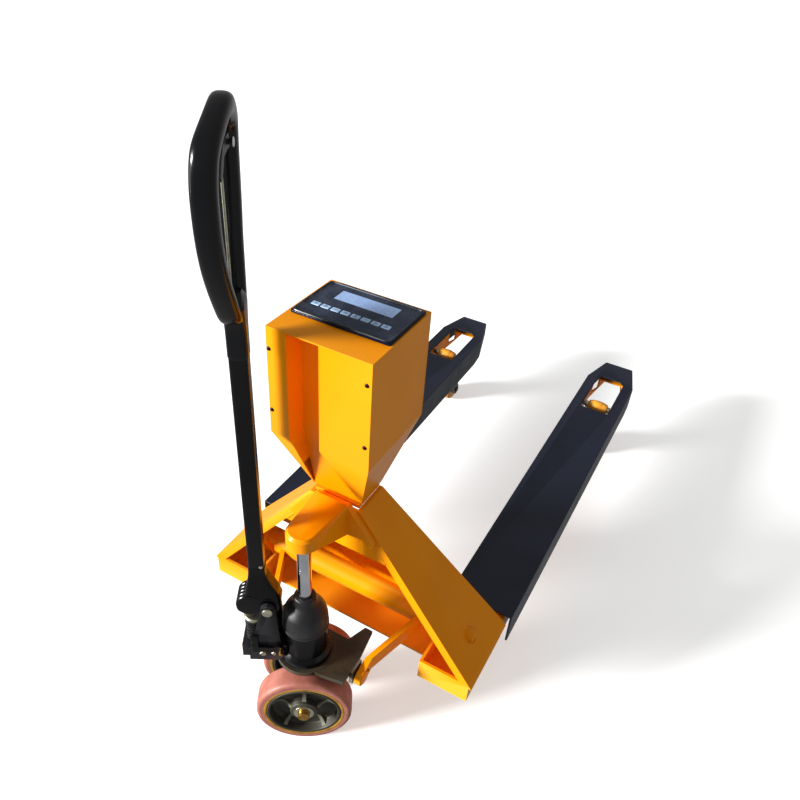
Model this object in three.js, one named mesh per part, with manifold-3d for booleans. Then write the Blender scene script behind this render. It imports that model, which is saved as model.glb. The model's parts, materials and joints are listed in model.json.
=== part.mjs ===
// Hand pallet truck with a built-in scale, drawn raised on its pump with the tiller turned aside.
// Millimetres, +Z up, +Y towards the fork tips, +X to the operator's right, floor at z = 0.
import * as THREE from 'three';
import { ConvexGeometry } from 'three/addons/geometries/ConvexGeometry.js';
import { mergeVertices } from 'three/addons/utils/BufferGeometryUtils.js';
import Module from 'manifold-3d';

const wasm = await Module();
wasm.setup();

// ---- Driving dimensions ----------------------------------------------------------------------
const GAP = 0.3; // clearance between pieces that touch
const OVERALL_WIDTH = 685;
const FORK = { length: 1150, width: 150, top: 205, bottom: 121, wall: 5, shoulder: 1039, tipWidth: 90 };
const FORK_X = (OVERALL_WIDTH - FORK.width) / 2; // centre line of each fork
const SLOT = { width: 84, from: 862, to: 1058, corner: 14 };
const CHASSIS = { width: 114, wall: 5, top: 184, bottom: 128, from: -11.7, to: 1112 };

const FRONT_Y = -198; // front plane of the A-frame
const LEG_FOOT = [328, 199]; // outer face of a leg at its foot, as x and z
const LEG_RISE = 1.3; // rise of a leg for each millimetre inwards
const LEG_TOP = 551;
const WEB = 6;
const FLANGE = 19;
const FOOT = { inner: 214, outer: 329, bottom: 143, top: 197, rear: -12 };
const REAR_TOP_Y = -112;

const SHAFT = { y: -118, z: 248, radius: 27, journal: 15, half: 200, end: 298 };
const PUSH_ARM = { x: 240, length: 80 };
const FRONT_ARM = { thick: 14, height: 36, outer: 178, inner: 125, bendY: -258, pinY: -286, pinZ: 185 };
const EYE = { radius: 10, travel: 11, slack: 1 }; // slotted eye at the end of a rocker arm
const ROCKER_ANGLE = THREE.MathUtils.degToRad(34.3); // turn of the rocker over the whole lift

const LOAD_PIVOT = { y: 860, z: 127 };
const WELL = { from: 815, to: 1070, half: 50 }; // opening of a chassis fork over its load roller
const LOAD_CELL = { rear: 70, front: 640, length: 130, width: 32 };
const LOAD_ROLLER = { y: 935, radius: 40, width: 70 };
const LOAD_ANGLE = THREE.MathUtils.degToRad(58.2); // turn of a load arm over the whole lift
const CRANK = 48.5;
const GUIDE = { y: 918, z: 178, radius: 21, width: 58 };

const PUMP_Y = -302.7; // pump and steering axis
const STEER = THREE.MathUtils.degToRad(-60); // tiller swung to the operator's left
const ROD_RADIUS = 14;
const WHEEL = { radius: 100, width: 52, offset: 56, rim: 78 };
const TILLER = { y: -70, z: 370, pin: 8 }; // handle pivot, in the steered frame
const CAM = { y: -118, z: 354, radius: 16 };
const PLUNGER = { y: -100, radius: 15, cap: 24 };
const AXLE_RADIUS = 12.5;
const HANDLE = { y: -89, depth: 30, width: 26, bottom: 470, top: 985, wall: 3 };
const LOOP = { bar: 28, depth: 34, neck: 1014, top: 1306 }; // the grip's bar and its centre line
const LEVER = { x: -20, y: -90, z: 1254, thick: 12, pin: 4 }; // pivot of the release lever
const CABLE = { y: -92, radius: 2, bore: 4.5, bottom: 477, top: 1243 }; // release lever to valve

const BOX = { left: -68, right: 125, front: -294, rear: -112, top: 970, bend: 762, bottom: 560, wall: 2.5 };
const BOX_FOOT = { left: -56, right: 52, front: -184 };
const RECESS = { half: 30, depth: 40 };
const PANEL = { left: -61.5, right: 122, front: -239, rear: -120, z: 970.3, thick: 4 };
const WINDOW = { left: -26, right: 85, front: -169, rear: -137, thick: 3 };
const KEYS = { count: 8, first: -38, pitch: 18.5, y: -199, width: 15, depth: 10 };

// ---- Finishes --------------------------------------------------------------------------------
const finish = (color, roughness, metalness) =>
  new THREE.MeshStandardMaterial({ color, roughness, metalness });
const yellowPaint = finish(0xf2a912, 0.38, 0.0);
const navyPaint = finish(0x1e2430, 0.45, 0.0);
const blackPaint = finish(0x111216, 0.3, 0.0);
const castIron = finish(0x34332d, 0.6, 0.4);
const steel = finish(0xb9bbbd, 0.32, 1.0);
const chrome = finish(0xd8dadd, 0.12, 1.0);
const rubber = finish(0x1c1c1d, 0.6, 0.0);
const redTyre = finish(0x9a4f40, 0.5, 0.0);
const amberTyre = finish(0xe0952a, 0.45, 0.0);
const blackPlastic = finish(0x141518, 0.4, 0.0);
const panelFilm = finish(0x1a2338, 0.25, 0.0);
const glass = finish(0x8fa6c0, 0.15, 0.0);
const keyFilm = finish(0xc9dcec, 0.4, 0.0);
const circuit = finish(0x1f5a35, 0.6, 0.0);
const aluminium = finish(0xc4c6c8, 0.35, 1.0);

// ---- Geometry helpers ------------------------------------------------------------------------
// Turns a three.js geometry into a manifold solid.
function solid(geometry) {
  const bare = geometry.clone();
  for (const name of Object.keys(bare.attributes)) if (name !== 'position') bare.deleteAttribute(name);
  const merged = mergeVertices(bare, 1e-4);
  return new wasm.Manifold(new wasm.Mesh({
    numProp: 3,
    vertProperties: new Float32Array(merged.attributes.position.array),
    triVerts: new Uint32Array(merged.index.array),
  }));
}

// Turns a manifold solid back into a three.js geometry.
function geometryOf(body) {
  const mesh = body.getMesh();
  const geometry = new THREE.BufferGeometry();
  geometry.setAttribute('position', new THREE.BufferAttribute(new Float32Array(mesh.vertProperties), 3));
  geometry.setIndex(new THREE.BufferAttribute(new Uint32Array(mesh.triVerts), 1));
  geometry.computeVertexNormals();
  return geometry;
}

const join = (...geometries) => geometryOf(geometries.map(solid).reduce((a, b) => a.add(b)));
const cut = (base, ...tools) => geometryOf(tools.map(solid).reduce((a, b) => a.subtract(b), solid(base)));

// A block between two corners.
function block([x0, y0, z0], [x1, y1, z1]) {
  const geometry = new THREE.BoxGeometry(x1 - x0, y1 - y0, z1 - z0);
  return geometry.translate((x0 + x1) / 2, (y0 + y1) / 2, (z0 + z1) / 2);
}

// A bar of round section along an axis, from a to b on it, centred on the other two coordinates.
function bar(axis, radius, a, b, u, v, sides = 16) {
  const geometry = new THREE.CylinderGeometry(radius, radius, b - a, sides);
  const middle = (a + b) / 2;
  if (axis === 'x') return geometry.rotateZ(-Math.PI / 2).translate(middle, u, v);
  if (axis === 'y') return geometry.translate(u, middle, v);
  return geometry.rotateX(Math.PI / 2).translate(u, v, middle);
}

// An outline of x, y points raised from z0 to z1.
function raised(points, z0, z1) {
  const shape = new THREE.Shape(points.map(([x, y]) => new THREE.Vector2(x, y)));
  return new THREE.ExtrudeGeometry(shape, { depth: z1 - z0, bevelEnabled: false }).translate(0, 0, z0);
}

// An outline of x, z points, thick in y from y0 to y1.
function facing(points, y0, y1) {
  return raised(points, 0, y1 - y0).rotateX(Math.PI / 2).translate(0, y1, 0);
}

// An outline of y, z points, thick in x from x0 to x1.
function sideways(points, x0, x1) {
  const upright = new THREE.Matrix4().set(0, 0, 1, x0, 1, 0, 0, 0, 0, 1, 0, 0, 0, 0, 0, 1);
  return raised(points, 0, x1 - x0).applyMatrix4(upright);
}

// A turned piece: radius, height pairs about the z axis.
function turned(profile, sides = 24) {
  const points = profile.map(([r, z]) => new THREE.Vector2(r, z));
  return new THREE.LatheGeometry(points, sides).rotateX(Math.PI / 2);
}

// The convex hull of a list of points.
const hull = (points) => new ConvexGeometry(points.map((p) => new THREE.Vector3(...p)));

// Points of an arc about a centre, angles in degrees.
function arc([cx, cy], radius, from, to, steps) {
  return Array.from({ length: steps + 1 }, (_, i) => {
    const angle = THREE.MathUtils.degToRad(from + ((to - from) * i) / steps);
    return [cx + radius * Math.cos(angle), cy + radius * Math.sin(angle)];
  });
}

const truck = new THREE.Group();
const steered = new THREE.Group();
steered.position.set(0, PUMP_Y, 0);
steered.rotation.z = STEER;
truck.add(steered);

function piece(name, geometry, material, parent = truck) {
  const mesh = new THREE.Mesh(geometry, material);
  mesh.name = name;
  parent.add(mesh);
}

const SIDES = [['left', -1], ['right', 1]];

// ---- A-frame ---------------------------------------------------------------------------------
// A point on a leg's outer face, or under it by a depth measured square to the face.
const LEG_SLANT = Math.hypot(1, 1 / LEG_RISE);
const legX = (z, depth = 0) => LEG_FOOT[0] - (z - LEG_FOOT[1]) / LEG_RISE - depth * LEG_SLANT;

// A strip along a leg, from its outer face to a depth under it.
const legStrip = (depth, foot, top) => [
  [legX(foot, depth), foot],
  [legX(foot), foot],
  [legX(top), top],
  [legX(top, depth), top],
];

// One leg with its box-shaped foot. The web narrows towards the top along its rear edge.
function frameLeg(side) {
  const web = facing(legStrip(WEB, FOOT.top - 8, LEG_TOP), FRONT_Y, FOOT.rear);
  const rearCut = sideways([[FOOT.rear, LEG_FOOT[1]], [40, LEG_FOOT[1]], [40, 600], [REAR_TOP_Y, 600],
    [REAR_TOP_Y, LEG_TOP]], 0, 400);
  const narrowWeb = cut(web, rearCut);
  const flange = facing(legStrip(FLANGE, FOOT.top - 6, LEG_TOP), FRONT_Y, FRONT_Y + WEB);
  const front = block([FOOT.inner, FRONT_Y, FOOT.bottom], [FOOT.outer, FRONT_Y + WEB, FOOT.top]);
  const outer = block([FOOT.outer - WEB, FRONT_Y, FOOT.bottom], [FOOT.outer, FOOT.rear, FOOT.top + 1]);
  const inner = block([FOOT.inner, FRONT_Y, FOOT.bottom], [FOOT.inner + WEB, FOOT.rear, FOOT.top]);
  const floor = block([FOOT.inner, FRONT_Y, FOOT.bottom], [FOOT.outer, FOOT.rear, FOOT.bottom + 5]);
  const beyond = facing([[legX(100), 100], [450, 100], [450, 420], [legX(420), 420]], FRONT_Y, 0);
  const boss = cut(bar('x', SHAFT.journal + 7, 262, 288, SHAFT.y, SHAFT.z), beyond);
  const bore = bar('x', SHAFT.journal + GAP, 200, 340, SHAFT.y, SHAFT.z);
  const leg = cut(join(narrowWeb, flange, front, outer, inner, floor, boss), bore);
  return side > 0 ? leg : mirrored(leg);
}

// The same solid on the other side of the centre plane.
function mirrored(geometry) {
  const copy = geometry.clone().applyMatrix4(new THREE.Matrix4().makeScale(-1, 1, 1));
  const index = copy.index.array;
  for (let i = 0; i < index.length; i += 3) [index[i], index[i + 1]] = [index[i + 1], index[i]];
  copy.computeVertexNormals();
  return copy;
}

for (const [word, side] of SIDES) piece(`frame_leg_${word}`, frameLeg(side), yellowPaint);

const CROSS = { bottom: 438, top: 544 };
const crossHalf = (z) => legX(z, FLANGE) - GAP;
piece('front_cross_plate', facing([
  [-crossHalf(CROSS.bottom), CROSS.bottom], [crossHalf(CROSS.bottom), CROSS.bottom],
  [crossHalf(CROSS.top), CROSS.top], [-crossHalf(CROSS.top), CROSS.top],
], FRONT_Y, FRONT_Y + WEB), yellowPaint);

// Heel plate: the floor between the feet, turned up behind the rocker shaft.
const heelHalf = FOOT.inner - GAP;
piece('heel_plate', join(
  block([-heelHalf, -148, FOOT.bottom], [heelHalf, -20, FOOT.bottom + WEB]),
  sideways([[-26, FOOT.bottom], [-20, FOOT.bottom], [-52, 330], [-58, 330]], -190, 190),
), yellowPaint);

const CROWN_HALF = 50;
piece('crown_plate', block([-CROWN_HALF, FRONT_Y + 8, LEG_TOP + GAP],
  [CROWN_HALF, REAR_TOP_Y, BOX.bottom - GAP]), yellowPaint);

// Head casting: a rounded nose on the piston rod, an arm back to the frame and a flared flange.
function headCasting() {
  const level = (list, z) => list.map(([x, y]) => [x, y, z]);
  const noseArc = arc([0, PUMP_Y], 33, 180, 360, 10);
  const noseFoot = arc([0, PUMP_Y], 22, 180, 360, 10);
  const rear = [[38, -212], [-38, -212]];
  const arm = hull([
    ...level(noseFoot, 526), ...level(noseArc, 537), ...level(noseArc, 562),
    ...level(arc([0, PUMP_Y], 28, 180, 360, 10), 569),
    ...level(rear, 492), ...level([[34, -212], [-34, -212]], 573), ...level(rear, 566),
  ]);
  const flare = facing([
    [-88, 480], [-72, 498], [-31, 493], [31, 493], [72, 498], [88, 480], [96, 492], [66, 532], [36, 566],
    [-36, 566], [-66, 532], [-96, 492],
  ], -213, FRONT_Y - GAP);
  const socket = bar('z', ROD_RADIUS + GAP, 500, 552 + GAP, 0, PUMP_Y);
  return cut(join(arm, flare), socket);
}
piece('head_casting', headCasting(), yellowPaint);

piece('piston_rod', bar('z', ROD_RADIUS, 296, 552, 0, PUMP_Y, 24), chrome);

// ---- Forks -----------------------------------------------------------------------------------
// Plan outline of a fork, inset by a wall, with its tip tapered.
function forkOutline(centre, inset, from, to, halfWidth = FORK.width / 2) {
  const half = halfWidth - inset;
  const tip = FORK.tipWidth / 2 - inset;
  return [[centre - half, from], [centre + half, from], [centre + half, FORK.shoulder], [centre + tip, to],
    [centre - tip, to], [centre - half, FORK.shoulder]];
}

// The push arm's pin as y and z. Half way through the lift it hangs lowest and the crank's highest.
const pushPin = () => [SHAFT.y + PUSH_ARM.length * Math.sin(ROCKER_ANGLE / 2),
  SHAFT.z - PUSH_ARM.length * Math.cos(ROCKER_ANGLE / 2)];
const PIN_DROP = PUSH_ARM.length * (1 - Math.cos(ROCKER_ANGLE / 2)) + 0.4;
const CRANK_RISE = CRANK * (1 - Math.cos(LOAD_ANGLE / 2)) + 0.4;

for (const [word, side] of SIDES) {
  const x = side * FORK_X;
  const half = SLOT.width / 2;
  const shell = raised(forkOutline(x, 0, 0, FORK.length), FORK.bottom, FORK.top);
  const hollow = raised(forkOutline(x, FORK.wall, -10, FORK.length - FORK.wall),
    FORK.bottom - 10, FORK.top - FORK.wall);
  const slot = raised([
    [x - half, SLOT.from], [x + half, SLOT.from],
    [x + half, SLOT.to - SLOT.corner], [x + half - SLOT.corner, SLOT.to],
    [x - half + SLOT.corner, SLOT.to], [x - half, SLOT.to - SLOT.corner],
  ], FORK.top - 20, FORK.top + 10);
  const toeCut = sideways([[FORK.shoulder - 60, FORK.bottom - 5], [FORK.length + 10, FORK.bottom - 5],
    [FORK.length + 10, 162]], x - 90, x + 90);
  piece(`load_shell_${word}`, cut(shell, hollow, slot, toeCut), navyPaint);

  // Chassis fork under the shell: a channel, open below, with a well for the load wheel.
  const w = CHASSIS.width / 2;
  const tip = 30;
  const outline = (inset, from, to) => [[x - w + inset, from], [x + w - inset, from], [x + w - inset, 1020],
    [x + tip - inset, to], [x - tip + inset, to], [x - w + inset, 1020]];
  const channel = raised(outline(0, CHASSIS.from, CHASSIS.to), CHASSIS.bottom, CHASSIS.top);
  const inside = raised(outline(CHASSIS.wall, CHASSIS.from - 10, CHASSIS.to - CHASSIS.wall),
    CHASSIS.bottom - 10, CHASSIS.top - CHASSIS.wall);
  const well = block([x - WELL.half, WELL.from, 150], [x + WELL.half, WELL.to, 220]);
  const noseCut = sideways([
    [1000, CHASSIS.bottom - 5], [1130, CHASSIS.bottom - 5], [1130, 168],
  ], x - 80, x + 80);
  const [earIn, earOut] = [w - CHASSIS.wall, w];
  const earAt = (s, y0, z0, y1, z1) => block([x + (s > 0 ? earIn : -earOut), y0, z0],
    [x + (s > 0 ? earOut : -earIn), y1, z1]);
  const guideEars = [-1, 1].map((s) => earAt(s, GUIDE.y - 22, 170, GUIDE.y + 22, 194));
  const pivotBore = bar('x', 9 + GAP, x - 70, x + 70, LOAD_PIVOT.y, LOAD_PIVOT.z);
  const guideBore = bar('x', 7 + GAP, x - 70, x + 70, GUIDE.y, GUIDE.z);
  const pivotEars = [-1, 1].map((s) => earAt(s, LOAD_PIVOT.y - 20, 109, LOAD_PIVOT.y + 20, 140));
  const openChannel = cut(channel, inside, well, noseCut);
  piece(`chassis_fork_${word}`, cut(join(openChannel, ...guideEars, ...pivotEars), pivotBore, guideBore),
    yellowPaint);

  for (const place of ['rear', 'front']) {
    const y = LOAD_CELL[place];
    const [cellHalf, cellTop] = [LOAD_CELL.width / 2, FORK.top - FORK.wall - GAP];
    piece(`load_cell_${word}_${place}`, block([x - cellHalf, y, CHASSIS.top + GAP],
      [x + cellHalf, y + LOAD_CELL.length, cellTop]), aluminium);
  }

  // Load arm: two cheeks with the pivot shaft, the crank pin and the wheel axle across them.
  const crankAngle = Math.PI / 2 - LOAD_ANGLE / 2;
  const crank = [LOAD_PIVOT.y + CRANK * Math.cos(crankAngle), LOAD_PIVOT.z + CRANK * Math.sin(crankAngle)];
  const knuckles = [
    [[LOAD_PIVOT.y, LOAD_PIVOT.z], 17],
    [[LOAD_ROLLER.y, LOAD_ROLLER.radius], 17],
    [crank, 11],
  ];
  const cheekRim = knuckles.flatMap(([c, r]) => arc(c, r, 0, 330, 11));
  const cheeks = [x - 45, x + 39].map((x0) => hull(
    cheekRim.flatMap(([y, z]) => [[x0, y, z], [x0 + 6, y, z]])));
  piece(`load_arm_${word}`, join(...cheeks,
    bar('x', 9, x - 58, x + 58, LOAD_PIVOT.y, LOAD_PIVOT.z),
    bar('x', 9, x - 48, x + 48, LOAD_ROLLER.y, LOAD_ROLLER.radius),
    bar('x', 6, x - 42, x + 42, ...crank)), blackPaint);

  const axleHole = 9 + GAP;
  const wide = LOAD_ROLLER.width / 2;
  const tread = [
    [axleHole, -wide], [LOAD_ROLLER.radius - 4, -wide],
    [LOAD_ROLLER.radius, -wide + 5], [LOAD_ROLLER.radius, wide - 5],
    [LOAD_ROLLER.radius - 4, wide], [axleHole, wide], [axleHole, -wide],
  ];
  piece(`load_roller_${word}`, turned(tread).rotateY(Math.PI / 2)
    .translate(x, LOAD_ROLLER.y, LOAD_ROLLER.radius), amberTyre);

  const g = GUIDE.width / 2;
  const barrel = [
    [7 + GAP, -g], [15, -g], [19, -g + 6], [GUIDE.radius, -10],
    [GUIDE.radius, 10], [19, g - 6], [15, g], [7 + GAP, g], [7 + GAP, -g],
  ];
  piece(`guide_roller_${word}`, turned(barrel, 24).rotateY(Math.PI / 2)
    .translate(x, GUIDE.y, GUIDE.z), amberTyre);
  piece(`guide_pin_${word}`, bar('x', 7, x - 57, x + 57, GUIDE.y, GUIDE.z), steel);

  // Push rod: a round rod with a slotted eye at each end, from the rocker's arm to the load arm's
  // crank pin. The pins rise and fall in the slots as the rod slides along.
  const eyeX = side * PUSH_ARM.x;
  const start = pushPin();
  const length = Math.hypot(crank[0] - start[0], crank[1] - start[1]);
  const slope = Math.atan2(crank[1] - start[1], crank[0] - start[0]);
  const rod = bar('y', 6, 8, length - 8, 0, 0, 16);
  const slotted = (radius, half, y, travel) => {
    const rim = [0, travel].flatMap((z) => arc([y, z], radius, 0, 330, 11));
    return hull(rim.flatMap(([v, z]) => [[-half, v, z], [half, v, z]]));
  };
  const eyes = [slotted(11, 5, 0, -PIN_DROP), slotted(10.5, 5, length, CRANK_RISE)];
  const holes = [slotted(6.6, 8, 0, -PIN_DROP), slotted(6.9, 8, length, CRANK_RISE)];
  piece(`push_rod_${word}`, cut(join(rod, ...eyes), ...holes).rotateX(slope)
    .translate(eyeX, ...start), steel);
}

// ---- Rocker ----------------------------------------------------------------------------------
// Torsion shaft with two bent arms to the thrust plate and two short arms that push the rods.
function rocker() {
  const tube = bar('x', SHAFT.radius, -SHAFT.half, SHAFT.half, SHAFT.y, SHAFT.z, 28);
  const journals = bar('x', SHAFT.journal, -SHAFT.end, SHAFT.end, SHAFT.y, SHAFT.z);
  const tilt = (SHAFT.z - FRONT_ARM.pinZ) / (SHAFT.y - FRONT_ARM.pinY);
  const shear = new THREE.Matrix4().set(
    1, 0, 0, 0,
    0, 1, 0, 0,
    0, tilt, 1, SHAFT.z - SHAFT.y * tilt,
    0, 0, 0, 1,
  );
  const parts = [tube, journals];
  for (const [, side] of SIDES) {
    const t = FRONT_ARM.thick / 2;
    const [inner, outer] = [side * FRONT_ARM.inner, side * FRONT_ARM.outer];
    const plan = [
      [inner - t, FRONT_ARM.pinY], [inner + t, FRONT_ARM.pinY],
      [inner + t, FRONT_ARM.bendY + 3 * side], [outer + t, SHAFT.y - 22 + 3 * side],
      [outer + t, SHAFT.y], [outer - t, SHAFT.y],
      [outer - t, SHAFT.y - 22 - 3 * side], [inner - t, FRONT_ARM.bendY - 3 * side],
    ];
    const h = FRONT_ARM.height / 2;
    parts.push(raised(plan, -h, h).applyMatrix4(shear));
    parts.push(bar('x', h, inner - t, inner + t, FRONT_ARM.pinY, FRONT_ARM.pinZ));
    const [py, pz] = pushPin();
    for (const x of [side * PUSH_ARM.x - 13, side * PUSH_ARM.x + 6]) {
      const ends = [[[SHAFT.y, SHAFT.z], 24], [[py, pz], 12]];
      const rim = ends.flatMap(([c, r]) => arc(c, r, 0, 330, 11));
      parts.push(hull(rim.flatMap(([y, z]) => [[x, y, z], [x + 7, y, z]])));
    }
    parts.push(bar('x', 6, side * PUSH_ARM.x - 12, side * PUSH_ARM.x + 12, py, pz, 20));
  }
  // The eyes are slots along the arms: the thrust plate's pins rise straight while the arms swing.
  const reach = Math.hypot(SHAFT.y - FRONT_ARM.pinY, SHAFT.z - FRONT_ARM.pinZ);
  const [alongY, alongZ] = [(SHAFT.y - FRONT_ARM.pinY) / reach, (SHAFT.z - FRONT_ARM.pinZ) / reach];
  const eyes = SIDES.map(([, side]) => {
    const rim = [-EYE.slack, EYE.travel].flatMap((d) => arc(
      [FRONT_ARM.pinY + d * alongY, FRONT_ARM.pinZ + d * alongZ], EYE.radius, 0, 345, 23));
    const [x0, x1] = [side * FRONT_ARM.inner - 20, side * FRONT_ARM.inner + 20];
    return hull(rim.flatMap(([y, z]) => [[x0, y, z], [x1, y, z]]));
  });
  return cut(join(...parts), ...eyes);
}
piece('rocker', rocker(), yellowPaint);

// ---- Thrust plate ----------------------------------------------------------------------------
// The plate under the frame's nose: its ring carries the pump, its pins carry the rocker's arms.
function thrustPlate() {
  const plate = raised([
    [-80, -196], [-64, -240], [64, -240], [80, -196], [98, -196], [108, -262],
    [110, -332], [60, -342], [-60, -342], [-110, -332], [-108, -262], [-98, -196],
  ].reverse(), 203, 212);
  const ring = bar('z', 62, 203, 213, 0, PUMP_Y, 32);
  const bore = bar('z', 53, 190, 230, 0, PUMP_Y, 32);
  const lugs = SIDES.flatMap(([, side]) => {
    const [x0, x1] = side > 0 ? [106, 115] : [-115, -106];
    return [block([x0, -304, 174], [x1, -268, 212]),
      bar('x', 8, side > 0 ? 110 : -132, side > 0 ? 132 : -110, FRONT_ARM.pinY, FRONT_ARM.pinZ)];
  });
  return cut(join(plate, ring, ...lugs), bore);
}
piece('thrust_plate', thrustPlate(), castIron);
piece('thrust_bearing', turned([[44.6, 203], [52.4, 203], [52.4, 213], [44.6, 213], [44.6, 203]], 32)
  .translate(0, PUMP_Y, 0), steel);

// ---- Pump, in the steered frame ----------------------------------------------------------------
function pumpBody() {
  const base = block([-27, -46, 64], [27, 46, 197]);
  const stem = bar('z', 26, 190, 205, 0, 0);
  const neck = turned([
    [0, 202], [44, 202], [44, 214], [53, 214], [53, 226], [45, 232], [44, 296], [0, 296],
  ], 32);
  const plungerHousing = block([-24, -128, 214], [24, -30, 250]);
  const ears = [-1, 1].map((s) => hull([
    ...arc([TILLER.y, TILLER.z], 15, 0, 330, 11).map(([y, z]) => [s * 24, y, z]),
    ...arc([TILLER.y, TILLER.z], 15, 0, 330, 11).map(([y, z]) => [s * 33, y, z]),
    [s * 24, -112, 226], [s * 33, -112, 226], [s * 24, -44, 226], [s * 33, -44, 226],
  ]));
  const shelf = block([-33, -112, 214], [33, -40, 232]);
  const bores = [
    bar('z', ROD_RADIUS + GAP, 185, 330, 0, 0, 32),
    bar('x', AXLE_RADIUS + GAP, -60, 60, 0, WHEEL.radius),
    bar('z', PLUNGER.radius + GAP, 221, 260, 0, PLUNGER.y),
    bar('x', TILLER.pin + GAP, -60, 60, TILLER.y, TILLER.z),
  ];
  return cut(join(base, stem, neck, plungerHousing, shelf, ...ears), ...bores);
}
piece('pump_body', pumpBody(), blackPaint, steered);

const boot = [
  [14.6, 382], [20, 385], [23, 380], [24, 368], [32, 356], [41, 342], [45.5, 324], [46.5, 308],
  [46.5, 296.4], [44.5, 296.4], [43, 316], [36, 338], [21, 360], [14.6, 372], [14.6, 382],
];
piece('pump_boot', turned(boot.slice().reverse(), 28), rubber, steered);

piece('wheel_axle', bar('x', AXLE_RADIUS, -93, 93, 0, WHEEL.radius), steel, steered);

for (const [word, side] of SIDES) {
  const half = WHEEL.width / 2;
  const r = WHEEL.radius;
  const upright = (profile, sides) => turned(profile, sides).rotateY(Math.PI / 2)
    .translate(side * WHEEL.offset, 0, r);
  const tyre = [
    [WHEEL.rim, -half], [r - 9, -half], [r - 3, -half + 4], [r, -half + 12],
    [r, half - 12], [r - 3, half - 4], [r - 9, half], [WHEEL.rim, half], [WHEEL.rim, -half],
  ];
  piece(`wheel_tyre_${word}`, upright(tyre, 40), redTyre, steered);
  // Cast hub: rim, thin disc and a boss bored for the axle.
  const rim = WHEEL.rim - GAP;
  const bore = AXLE_RADIUS + GAP;
  const hub = [
    [bore, -half + 2], [30, -half + 2], [30, -5], [rim - 8, -5], [rim - 5, -half], [rim, -half],
    [rim, half], [rim - 5, half], [rim - 8, 5], [30, 5], [30, half - 2], [bore, half - 2],
    [bore, -half + 2],
  ];
  piece(`wheel_hub_${word}`, upright(hub, 32), castIron, steered);
}

const CAP_TOP = CAM.z - CAM.radius - 11;
piece('pump_plunger', join(
  bar('z', PLUNGER.radius, 258, CAP_TOP - 4, 0, PLUNGER.y),
  bar('z', PLUNGER.cap, CAP_TOP - 8, CAP_TOP, 0, PLUNGER.y),
), steel, steered);

// Plunger spring: a round wire wound round the plunger between the housing and the cap.
class Helix extends THREE.Curve {
  constructor(radius, bottom, top, turns) {
    super();
    Object.assign(this, { radius, bottom, top, turns });
  }

  getPoint(t, target = new THREE.Vector3()) {
    const angle = t * this.turns * 2 * Math.PI;
    return target.set(this.radius * Math.cos(angle), this.radius * Math.sin(angle),
      this.bottom + (this.top - this.bottom) * t);
  }
}
const wire = new THREE.Shape(arc([0, 0], 2.6, 0, 300, 5).map(([x, y]) => new THREE.Vector2(x, y)));
piece('plunger_spring', new THREE.ExtrudeGeometry(wire, {
  extrudePath: new Helix(19.5, 253.5, CAP_TOP - 11.5, 4.5), steps: 54, bevelEnabled: false,
}).translate(0, PLUNGER.y, 0), steel, steered);

piece('valve_lever', join(
  block([34.5, -92, 250], [40, -52, 264]),
  bar('x', 10, 34.5, 40, -52, 257),
  block([34.5, -104, 250], [40, -92, 300]),
), steel, steered);

// ---- Tiller handle, in the steered frame ---------------------------------------------------------
function handleBracket() {
  const hub = bar('x', 24, -22, 22, TILLER.y, TILLER.z, 32);
  const [w, d] = [HANDLE.width / 2 + 1, HANDLE.depth / 2 + 1];
  const seam = HANDLE.bottom - GAP;
  const cheek = (x0, x1) => hull([
    ...arc([TILLER.y, TILLER.z], 24, 0, 330, 11), ...arc([CAM.y, CAM.z], 13, 180, 360, 6),
    [HANDLE.y - d, 444], [HANDLE.y + d, 444],
  ].flatMap(([y, z]) => [[x0, y, z], [x1, y, z]]));
  const yoke = block([-22, HANDLE.y - d, 420], [22, HANDLE.y + d, 444]);
  const shoulder = block([-w, HANDLE.y - d, 440], [w, HANDLE.y + d, seam]);
  const slack = HANDLE.wall + 1;
  const spigot = block([-HANDLE.width / 2 + slack, HANDLE.y - HANDLE.depth / 2 + slack, seam - 5],
    [HANDLE.width / 2 - slack, HANDLE.y + HANDLE.depth / 2 - slack, seam + 45]);
  const cableBore = bar('z', CABLE.bore, 390, seam + 60, 0, CABLE.y);
  const axle = bar('x', 8, -20, 20, CAM.y, CAM.z);
  const pivotBore = bar('x', TILLER.pin + GAP, -60, 60, TILLER.y, TILLER.z);
  return cut(join(hub, cheek(-22, -15), cheek(15, 22), yoke, shoulder, spigot, axle), cableBore, pivotBore);
}
piece('handle_bracket', handleBracket(), blackPaint, steered);
piece('handle_pivot_pin', bar('x', TILLER.pin, -38, 38, TILLER.y, TILLER.z), steel, steered);
const camProfile = [
  [8 + GAP, -14], [14, -14], [CAM.radius, -12], [CAM.radius, 12], [14, 14], [8 + GAP, 14],
  [8 + GAP, -14],
];
piece('cam_roller', turned(camProfile, 28)
  .rotateY(Math.PI / 2).translate(0, CAM.y, CAM.z), steel, steered);

function roundedRect(width, depth, corner, steps = 3) {
  const [w, d] = [width / 2 - corner, depth / 2 - corner];
  const corners = [[w, d, 0], [-w, d, 90], [-w, -d, 180], [w, -d, 270]];
  return corners.flatMap(([x, y, a]) => arc([x, y], corner, a, a + 90, steps));
}
const tube = (grow, corner, z0, z1) => raised(
  roundedRect(HANDLE.width + 2 * grow, HANDLE.depth + 2 * grow, corner), z0, z1).translate(0, HANDLE.y, 0);
piece('handle_shaft', cut(tube(0, 4, HANDLE.bottom, HANDLE.top),
  tube(-HANDLE.wall, 2, HANDLE.bottom - 5, HANDLE.top + 5)), blackPaint, steered);

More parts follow.
